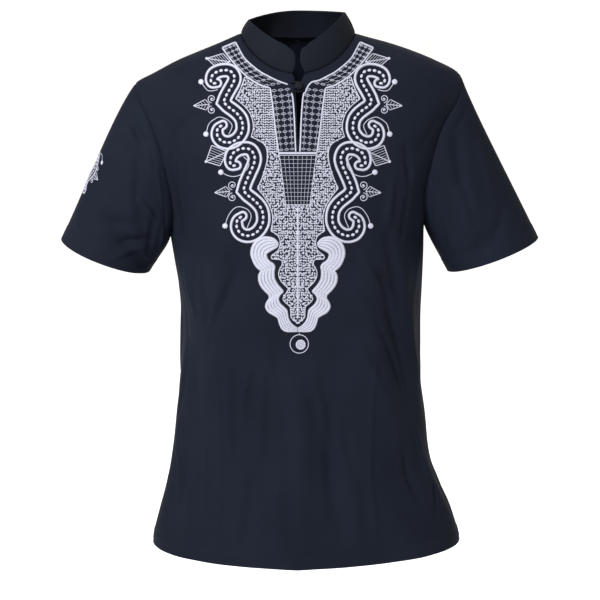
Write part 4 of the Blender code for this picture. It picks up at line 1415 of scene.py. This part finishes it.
def leaves(half):
    """Tendrils with knobs, arrow leaves with curls, and kite leaves."""
    for points in TENDRILS:
        cord(half, smooth_line(points), LINE_WIDTH, LINE_HEIGHT)
        knob(half, points[0], KNOB_RADIUS, KNOB_HEIGHT)
    for tip, high, middle, low, radius in ARROWS:
        arrow_leaf(half, tip, high, middle, low)
        for sign in (-1, 1):
            centre = (middle[0] + radius * CURL_ACROSS, middle[1] + sign * radius * CURL_APART)
            curl(half, centre, radius, -sign, -sign)
    for outer, high, inner, low in KITES:
        for line in ((outer, high), (high, inner), (inner, low), (low, outer), (outer, inner)):
            cord(half, line, KITE_LINE_WIDTH, LINE_HEIGHT)
        hatched(half, outer, high, outer, inner, KITE_HATCHES)
        hatched(half, low, inner, outer, inner, KITE_HATCHES)
        knob(half, outer, KITE_KNOB_RADIUS, KITE_KNOB_HEIGHT)


def scrolls_and_leaves(half, whole):
    """The pairs of scrolls with all that stands round them."""
    for row in SCROLLS:
        scroll(half, *row)
    leaves(half)


def inside(points, polygon):
    """Which points lie inside a closed line."""
    a, b = polygon, np.roll(polygon, -1, axis=0)
    x, y = points[:, 0][:, None], points[:, 1][:, None]
    crosses = (a[:, 1] > y) != (b[:, 1] > y)
    rise = np.where(b[:, 1] == a[:, 1], 1e-9, b[:, 1] - a[:, 1])
    return ((crosses & (x < a[:, 0] + (y - a[:, 1]) / rise * (b[:, 0] - a[:, 0]))).sum(axis=1) % 2) == 1


def ground_region(edge):
    """The closed line round the left half of the stippled ground."""
    top, side = smooth_line(NECK_OUTER), smooth_line(PLACKET_OUTER)
    panel = (
        (0, PANEL_BOTTOM),
        (-PANEL_BOTTOM_HALF_WIDTH, PANEL_BOTTOM),
        (-PANEL_TOP_HALF_WIDTH, PANEL_TOP),
    )
    return np.vstack([edge, panel, side[::-1], top[top[:, 0] > GROUND_NECK_END][::-1]])


def stipple(half, region):
    """Short stitches in a zigzag field, regular beside the placket and uneven away from it."""
    random = np.random.default_rng(STIPPLE_SEED)
    rows = np.arange(STIPPLE_TOP, STIPPLE_BOTTOM, STIPPLE_ROW)
    columns = np.arange(STIPPLE_LEFT, 0, STIPPLE_PITCH)
    places = np.stack(np.meshgrid(columns, rows), axis=-1).reshape(-1, 2)
    slope = np.where(np.arange(len(columns)) % 2 == 0, STIPPLE_TILT, -STIPPLE_TILT)
    tilt = np.tile(slope, len(rows))
    side = smooth_line(PLACKET_OUTER)
    from_placket = np.interp(places[:, 1], side[:, 1], side[:, 0]) - places[:, 0]
    beside = np.clip(from_placket / STIPPLE_REACH, STIPPLE_CALM, 1.0)
    loose = np.where(places[:, 1] > BAR_DEPTH, 1.0, beside)
    places = places + random.normal(0, STIPPLE_SHIFT, places.shape) * loose[:, None]
    tilt = tilt + random.normal(0, STIPPLE_TURN, len(places)) * loose
    keep = inside(places, region)
    places, tilt = places[keep], tilt[keep]
    along = np.stack([np.cos(tilt), np.sin(tilt)], axis=1)
    size = random.uniform(*STIPPLE_SIZES, len(places))
    length, width = STIPPLE_HALF_LENGTH * size, STIPPLE_HALF_WIDTH * size
    stamp(half, SEED_TEMPLATE, places, along, length, width, STIPPLE_HEIGHT)


def ground(half, whole):
    """The stippled ground: its edge, dense short stitches and the spine down its middle."""
    edge = np.vstack([smooth_line(stretch)[:-1] for stretch in GROUND_EDGE] + [[GROUND_EDGE[-1][-1]]])
    cord(half, edge, GROUND_LINE_WIDTH, GROUND_LINE_HEIGHT)
    stipple(half, ground_region(edge))
    depth = np.linspace(SPINE_TOP, SPINE_BOTTOM, SPINE_POINTS)
    fine, coarse = SPINE_WAVES
    uneven = (1 - SPINE_PLAIN_SHARE) * np.sin(depth * fine) * np.cos(depth * coarse)
    width = SPINE_WIDTH * (SPINE_PLAIN_SHARE + uneven)
    cord(whole, np.stack([np.zeros_like(depth), depth], axis=1), width, SPINE_HEIGHT)


def tail(half, whole):
    """The scalloped tail of satin ribs, and the ring and dot that hang from it."""
    outer, inner = (
        np.vstack([evenly(smooth_line(lobe[edge]), count=TAIL_POINTS) for lobe in TAIL_LOBES])
        for edge in (0, 1)
    )
    apart = np.linalg.norm(np.diff(outer + inner, axis=0), axis=1)
    keep = np.append(True, apart > TAIL_LEAST_STEP)
    outer, inner = outer[keep], inner[keep]
    wide = np.linalg.norm(outer - inner, axis=1) / TAIL_RIBS * TAIL_OVERLAP + TAIL_EXTRA
    for share in middles(TAIL_RIBS):
        cord(half, outer * (1 - share) + inner * share, wide.copy(), TAIL_HEIGHT)
    across, down = PENDANT_CENTRE
    cord(whole, [(across, PENDANT_TOP), (across, down - PENDANT_RADIUS)], LINE_WIDTH, LINE_HEIGHT)
    cord(whole, circle(PENDANT_CENTRE, PENDANT_RADIUS), LINE_WIDTH, LINE_HEIGHT, closed=True)
    for radius in PENDANT_DOT_RINGS:
        cord(whole, circle(PENDANT_DOT, radius), PENDANT_DOT_WIDTH, PENDANT_DOT_HEIGHT, closed=True)


def sleeve_motif(whole):
    """The small motif of a sleeve: two leaves and a curl on either side of a beaded stem."""
    stem = evenly(smooth_line(SLEEVE_STEM), 1.0)
    middle = len(stem) // 2
    outline = band_outline(stem[: middle + 1], stem[middle:])
    cord(whole, outline, SLEEVE_STEM_WIDTH, SATIN_HEIGHT, closed=True)
    beads(whole, stem, SLEEVE_BEADS, SLEEVE_BEAD_REACH)
    for sign, depth in SLEEVE_LEAF_DEPTHS.items():
        corners = [(sign * SLEEVE_LEAF_CORNER, depth + up * SLEEVE_LEAF_HALF_WIDTH) for up in (-1, 1)]
        tip, inner = (sign * SLEEVE_LEAF_TIP, depth), (sign * SLEEVE_LEAF_MIDDLE, depth)
        arrow_leaf(whole, tip, corners[0], inner, corners[1])
        for turn in (-1, 1):
            centre = (sign * SLEEVE_CURL_ACROSS, depth + turn * SLEEVE_CURL_APART)
            curl(whole, centre, SLEEVE_CURL_RADIUS, -turn, -sign * turn)
    for sign in (-1, 1):
        hook = sign * np.array(SLEEVE_HOOK)
        cord(whole, smooth_line(hook), LINE_WIDTH, LINE_HEIGHT)
        knob(whole, hook[0], KNOB_RADIUS, KNOB_HEIGHT)


def camera_axes():
    """The camera's directions forward and up."""
    sine, cosine = math.sin(CAMERA_PITCH), math.cos(CAMERA_PITCH)
    return np.array((0.0, cosine, -sine)), np.array((0.0, sine, cosine))


def front_chart():
    """The front under a grid of drawing points: (positions, outward normals, the grid's first point)."""
    (left, top), (right, bottom) = PATTERN_BOX
    across, down = np.meshgrid(np.arange(left, right, PATTERN_STEP), np.arange(top, bottom, PATTERN_STEP))
    forward, up = camera_axes()
    eye = np.array(CAMERA_TARGET) - forward * CAMERA_DISTANCE
    ray = (
        forward * PATTERN_DISTANCE
        + (across / 1000 - eye[0])[..., None] * (1.0, 0.0, 0.0)
        + (PATTERN_TOP - down / 1000)[..., None] * up
    )
    depth = np.full(across.shape, PATTERN_START_DEPTH)
    angle = np.zeros(across.shape)
    for _ in range(PATTERN_ROUNDS):
        place = eye + ray * ((depth - eye[1]) / ray[..., 1])[..., None]
        height = np.minimum(place[..., 2], PATTERN_HIGHEST)
        point = torso_point(angle, height, FRONT)
        width = np.where(angle < 0, shoulder_width(LEFT, height), shoulder_width(RIGHT, height))
        slant = np.maximum(np.cos(angle), PATTERN_LEAST_COSINE)
        step = (place[..., 0] - point[..., 0]) / (width * slant)
        angle = np.clip(angle + step, -PATTERN_ANGLE_LIMIT, PATTERN_ANGLE_LIMIT)
        depth = point[..., 1]
    positions = torso_point(angle, height, FRONT)
    return positions, grid_normals(positions), (left, top)


def sleeve_chart(rings, turn):
    """The left sleeve's outer side under a grid of drawing points, in the same form as the front's."""
    (left, top), (right, bottom) = SLEEVE_PATTERN_BOX
    across = np.arange(left, right, PATTERN_STEP)
    down = np.arange(top, bottom, PATTERN_STEP)
    wanted = SLEEVE_PATTERN_SHARE + down * SLEEVE_PATTERN_SCALE / SLEEVE_LENGTH
    round_it = SLEEVE_PATTERN_TURN + across * SLEEVE_PATTERN_SCALE / SLEEVE_PATTERN_RADIUS
    round_it = round_it % (2 * math.pi)
    ring_turn = np.append(turn, 2 * math.pi)
    closed = np.concatenate([rings, rings[:, :1]], axis=1)
    positions = np.zeros((len(down), len(across), 3))
    for axis in range(3):
        by_turn = np.array([np.interp(round_it, ring_turn, row) for row in closed[..., axis]])
        for column in range(len(across)):
            positions[:, column, axis] = np.interp(wanted, sleeve_shares(), by_turn[:, column])
    return positions, outward_normals(positions, (LEFT, 0, 0)), (left, top)


def laid(chart, points):
    """A drawing's points on the cloth."""
    positions, normals, (left, top) = chart
    last_row, last_column = np.array(positions.shape[:2]) - PATTERN_LAST
    column = np.clip((points[:, 0] - left) / PATTERN_STEP, 0, last_column)
    row = np.clip((points[:, 1] - top) / PATTERN_STEP, 0, last_row)
    i, j = row.astype(int), column.astype(int)
    v, u = (row - i)[:, None], (column - j)[:, None]

    def mixed(values):
        return (
            values[i, j] * (1 - u) * (1 - v)
            + values[i, j + 1] * u * (1 - v)
            + values[i + 1, j] * (1 - u) * v
            + values[i + 1, j + 1] * u * v
        )

    return mixed(positions) + unit(mixed(normals)) * points[:, 2:3] / 1000


def thread_nodes(tree, shader, colour):
    """Shiny parallel threads in their own coordinates, slightly uneven, with painted shade in the grooves
    between them and towards the edges of cords and dots.
    """
    along, across, rim = coordinates(tree, "thread")
    slanted = math_node(tree, "ADD", along, math_node(tree, "MULTIPLY", across, THREAD_SLANT))
    ridges = math_node(tree, "MULTIPLY", wave(tree, slanted, THREAD_PITCH), THREAD_RIDGE)
    height = math_node(tree, "ADD", ridges, noise(tree, THREAD_NOISE_SCALE, 2.0))
    bumped(tree, shader, height, Strength=THREAD_BUMP, Distance=THREAD_RELIEF)
    # Painted shade: the colour darkens where the threads' relief is low, in the grooves between them
    shade = add_node(tree, "ShaderNodeMapRange", [("Value", height)])
    for end, value in zip(("From Min", "From Max"), THREAD_SHADE_RANGE):
        shade.inputs[end].default_value = value
    # More painted shade towards a cord's edges and a dot's foot, read from the third thread coordinate
    depth = math_node(tree, "MULTIPLY", rim, THREAD_RIM_SHADE)
    lit = math_node(tree, "SUBTRACT", shade.outputs["Result"], depth)
    shaded(tree, shader, lit, colour, (THREAD_DEEPEST_SHADE, 1.0))
    shader.inputs["Sheen Weight"].default_value = 0.10
    shader.inputs["Anisotropic"].default_value = 0.4
    shader.inputs["Specular IOR Level"].default_value = 0.35


def dark_thread_nodes(tree, shader, colour):
    """The same threads with the low gloss of dyed cotton."""
    thread_nodes(tree, shader, colour)
    shader.inputs["Sheen Weight"].default_value = 0.01
    shader.inputs["Specular IOR Level"].default_value = 0.08


def thread_piece(name, points, faces, thread, material):
    """A piece of closed shapes with their threads' coordinates, all faces turned outwards."""
    item = mesh_object(name, points, faces, material, [("thread", thread)])
    mesh = bmesh.new()
    mesh.from_mesh(item.data)
    bmesh.ops.recalc_face_normals(mesh, faces=mesh.faces)
    mesh.to_mesh(item.data)
    mesh.free()
    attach(item, "root")
    return item


def embroidered(name, drawing, chart, material):
    """A drawing as a piece of raised threads on the cloth."""
    points = laid(chart, np.concatenate(drawing.points))
    thread = np.concatenate(drawing.thread)
    return thread_piece(name, points, without_repeats(drawing.faces), thread, material)


def build_embroidery(sleeves):
    """All embroidery, in pieces by motif, as {name: object}."""
    material = make_material("white_satin_thread", THREAD_COLOUR, THREAD_ROUGHNESS, thread_nodes)
    chart = front_chart()
    made = {}
    for name, maker in (
        ("embroidery_neck", neck_and_placket),
        ("embroidery_ground", ground),
        ("embroidery_tail", tail),
        ("embroidery_scrolls", scrolls_and_leaves),
    ):
        half, whole = Drawing(), Drawing()
        maker(half, whole)
        whole.add_mirrored(half)
        made[name] = embroidered(name, whole, chart, material)
    name, drawing = "embroidery_sleeve_left", Drawing()
    sleeve_motif(drawing)
    made[name] = embroidered(name, drawing, sleeve_chart(*sleeves[LEFT]), material)
    return made


def tube(route, normals, radius, closed=False):
    """Points, faces and thread coordinates of a round cord along a route, by its normals."""
    along = headings(route, closed)
    across = unit(np.cross(along, normals))
    lift = np.cross(across, along)
    turn = np.arange(CORD_SIDES) / CORD_SIDES * 2 * math.pi
    ring = np.cos(turn)[None, :, None] * across[:, None] + np.sin(turn)[None, :, None] * lift[:, None]
    points = route[:, None] + radius * ring
    faces = looped_faces(points).tolist() if closed else capped_faces(points)
    thread = np.zeros_like(points)
    thread[..., 0] = lengths(points[:, 0])[:, None] * 1000
    thread[..., 1] = turn[None] * radius * 1000
    return points.reshape(-1, 3), faces, thread.reshape(-1, 3)


def closed_piece(name, parts, material):
    """One piece from several closed shapes, each (points, faces, thread coordinates)."""
    faces, first = [], 0
    for points, own, thread in parts:
        faces += [[corner + first for corner in face] for face in own]
        first += len(points)
    points = np.concatenate([part[0] for part in parts])
    thread = np.concatenate([part[2] for part in parts])
    return thread_piece(name, points, faces, thread, material)


def on_sphere(latitude, longitude):
    """Points of a sphere of radius 1."""
    latitude, longitude = np.broadcast_arrays(latitude, longitude)
    level = np.cos(latitude)
    return np.stack([level * np.cos(longitude), level * np.sin(longitude), np.sin(latitude)], axis=-1)


def closure_frame():
    """The point of the front behind the ball, and the directions right, down the cloth and outward."""
    step = np.array([BALL_Z, BALL_Z - LOOP_BEND_RADIUS])
    here, lower = torso_point(np.zeros(2), step, FRONT)
    right = np.array([1.0, 0.0, 0.0])
    down = unit(lower - here)
    return here + right * BALL_X, right, down, np.cross(down, right)


def woven_ball():
    """The ball's cord, woven over and under itself round a core, flattened towards the cloth."""
    surface, right, down, out = closure_frame()
    centre = surface + out * (BALL_RADIUS * BALL_FLATNESS + SEAM_GAP)
    axes = np.stack([right, down, out * BALL_FLATNESS])
    t = np.linspace(0, 2 * math.pi, KNOT_POINTS, endpoint=False)
    outward = on_sphere(KNOT_LATITUDE * np.cos(KNOT_BIGHTS * t), KNOT_LEADS * t)
    reach = KNOT_REACH + KNOT_WEAVE * np.sin(2 * KNOT_BIGHTS * t)
    woven = tube(outward * reach[:, None], outward, KNOT_CORD, closed=True)
    latitude = np.linspace(-math.pi / 2, math.pi / 2, KNOT_CORE_RINGS + 2)[1:-1]
    longitude = np.arange(KNOT_CORE_SIDES) / KNOT_CORE_SIDES * 2 * math.pi
    core = on_sphere(latitude[:, None], longitude) * KNOT_REACH
    flat_core = core.reshape(-1, 3)
    shapes = [woven, (flat_core, capped_faces(core), np.zeros_like(flat_core))]
    return [(centre + points @ axes, faces, thread) for points, faces, thread in shapes]


def twisted_loop():
    """The loop's two strands, twisted round its middle line."""
    surface, right, down, out = closure_frame()
    surface = surface + out * (LOOP_CORD_RADIUS + SEAM_GAP)
    straight = np.linspace(LOOP_END_X - BALL_X, 0.0, LOOP_STRAIGHT_POINTS)
    bend = np.linspace(0, math.pi, LOOP_BEND_POINTS)[1:-1]
    route = [surface + right * x - down * LOOP_BEND_RADIUS for x in straight]
    route += [surface + (right * math.sin(a) - down * math.cos(a)) * LOOP_BEND_RADIUS for a in bend]
    route += [surface + right * x + down * LOOP_BEND_RADIUS for x in straight[::-1]]
    route = np.array(route)
    side = unit(np.cross(headings(route), out))
    strands = []
    for start in (0.0, math.pi):
        turn = lengths(route) / STRAND_TWIST * 2 * math.pi + start
        away = np.cos(turn)[:, None] * side + np.sin(turn)[:, None] * out
        strands.append(tube(route + away * STRAND_OFFSET, away, STRAND_RADIUS))
    return strands


def build_closure():
    """The knotted ball and its cord loop."""
    material = make_material("navy_black_cord", CORD_COLOUR, CORD_ROUGHNESS, dark_thread_nodes)
    for name, parts in (("knot_ball", woven_ball()), ("button_loop", twisted_loop())):
        item = closed_piece("cord_" + name, parts, material)
        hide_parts(name)


def stitch_line(line, normals, lift):
    """Evenly spaced stitches along a line on the cloth, as (points, faces, thread coordinates)."""
    length = lengths(line)[-1]
    count = max(1, int(length / STITCH_SPACING))
    at = middles(count) * length
    place = at_lengths(at, line)
    out = unit(at_lengths(at, line, normals))
    along = unit(at_lengths(at + STITCH_REACH, line) - at_lengths(at - STITCH_REACH, line))
    across = unit(np.cross(out, along))
    local = SEED_TEMPLATE[0] * (STITCH_LENGTH / 2, STITCH_WIDTH / 2, STITCH_HEIGHT)
    points = (
        (place + out * lift)[:, None]
        + local[None, :, 0:1] * along[:, None]
        + local[None, :, 1:2] * across[:, None]
        + local[None, :, 2:3] * out[:, None]
    )
    marks = np.broadcast_to(local[None, :, [1, 0, 2]] * 1000, points.shape)
    faces = without_repeats(repeated_faces(SEED_TEMPLATE, count).tolist())
    return points.reshape(-1, 3), faces, marks.reshape(-1, 3)


def hem_stitches(panels, sleeves):
    """Rows of stitches on hems and cuffs, as {node: shapes}."""
    rows = {"front": [], "back": [], "sleeve_left": [], "sleeve_right": []}
    for (side, face), grid in panels.items():
        normals = outward_normals(grid, (0.0, float(face), 0.0))
        row = HEM_STITCH_ROW
        rows[FACE_NAME[face]].append(stitch_line(grid[row], normals[row], HEM_RISE))
    for side, (rings, _) in sleeves.items():
        closed = np.concatenate([rings, rings[:, :1]], axis=1)
        normals = outward_normals(closed, closed - rings.mean(axis=1, keepdims=True))
        row = CUFF_STITCH_ROW
        rows["sleeve_" + SIDE_NAME[side]].append(stitch_line(closed[row], normals[row], HEM_RISE))
    return rows


def collar_stitches(panels):
    """Stitches round the collar, along its top and down its front ends, as shapes."""
    shapes = []
    for side in SIDE_NAME:
        for face in FACE_NAME:
            grid = collar_quarter(panels, side, face)
            normals = outward_normals(grid, grid * (1.0, 1.0, 0.0))
            row, column = COLLAR_STITCH_ROW, COLLAR_STITCH_COLUMN
            first = column if face == FRONT else 0
            shapes.append(stitch_line(grid[row, first:], normals[row, first:], 0.0))
            if face == FRONT:
                shapes.append(stitch_line(grid[:row, column], normals[:row, column], 0.0))
    return shapes


def build_stitches(panels, sleeves):
    """All topstitching, as {node: object}."""
    look = (SEAM_THREAD_COLOUR, SEAM_THREAD_ROUGHNESS, dark_thread_nodes)
    material = make_material("navy_black_thread", *look)
    rows = hem_stitches(panels, sleeves)
    rows["collar"] = collar_stitches(panels)
    made = {}
    for name, parts in rows.items():
        made[name] = closed_piece("stitches_" + name, parts, material)
    return made


def plain_nodes(tree, shader, colour):
    """A matt painted floor, faintly uneven."""
    bumped(tree, shader, noise(tree, FLOOR_NOISE_SCALE, 2.0), Strength=FLOOR_BUMP)


def area_light(name, place, target, size, power, colour):
    """A soft square light that faces a point."""
    light = bpy.data.lights.new(name, "AREA")
    light.size = size
    light.energy = power
    light.color = colour
    item = bpy.data.objects.new(name, light)
    item.location = place
    item.rotation_euler = (Vector(target) - Vector(place)).to_track_quat("-Z", "Y").to_euler()
    bpy.context.scene.collection.objects.link(item)


def build_floor():
    """A wide floor under the shirt."""
    mesh = bmesh.new()
    bmesh.ops.create_circle(mesh, cap_ends=True, radius=FLOOR_RADIUS, segments=FLOOR_SIDES)
    data = bpy.data.meshes.new("floor")
    mesh.to_mesh(data)
    mesh.free()
    data.materials.append(make_material("floor_paint", FLOOR_COLOUR, FLOOR_ROUGHNESS, plain_nodes))
    floor = bpy.data.objects.new("floor", data)
    floor.location = (0.0, 0.0, FLOOR_HEIGHT)
    bpy.context.scene.collection.objects.link(floor)


def build_lights():
    """The white surroundings and the lights."""
    world = bpy.data.worlds.new("soft_white")
    world.use_nodes = True
    background = world.node_tree.nodes["Background"]
    background.inputs["Color"].default_value = (*SKY_COLOUR, 1.0)
    background.inputs["Strength"].default_value = SKY_STRENGTH
    bpy.context.scene.world = world
    for row in LIGHTS:
        area_light(*row)


def build_camera():
    """The camera, in front of the shirt and a little above it."""
    camera = bpy.data.cameras.new("camera")
    camera.lens = CAMERA_LENS
    item = bpy.data.objects.new("camera", camera)
    forward = Vector(camera_axes()[0])
    item.location = Vector(CAMERA_TARGET) - forward * CAMERA_DISTANCE
    item.rotation_euler = forward.to_track_quat("-Z", "Y").to_euler()
    bpy.context.scene.collection.objects.link(item)
    bpy.context.scene.camera = item
    bpy.context.scene.view_settings.view_transform = "Standard"


pieces, panels, sleeves = build_cloth()
embroidery = build_embroidery(sleeves)
stitches = build_stitches(panels, sleeves)
build_closure()
build_floor()
build_lights()
build_camera()
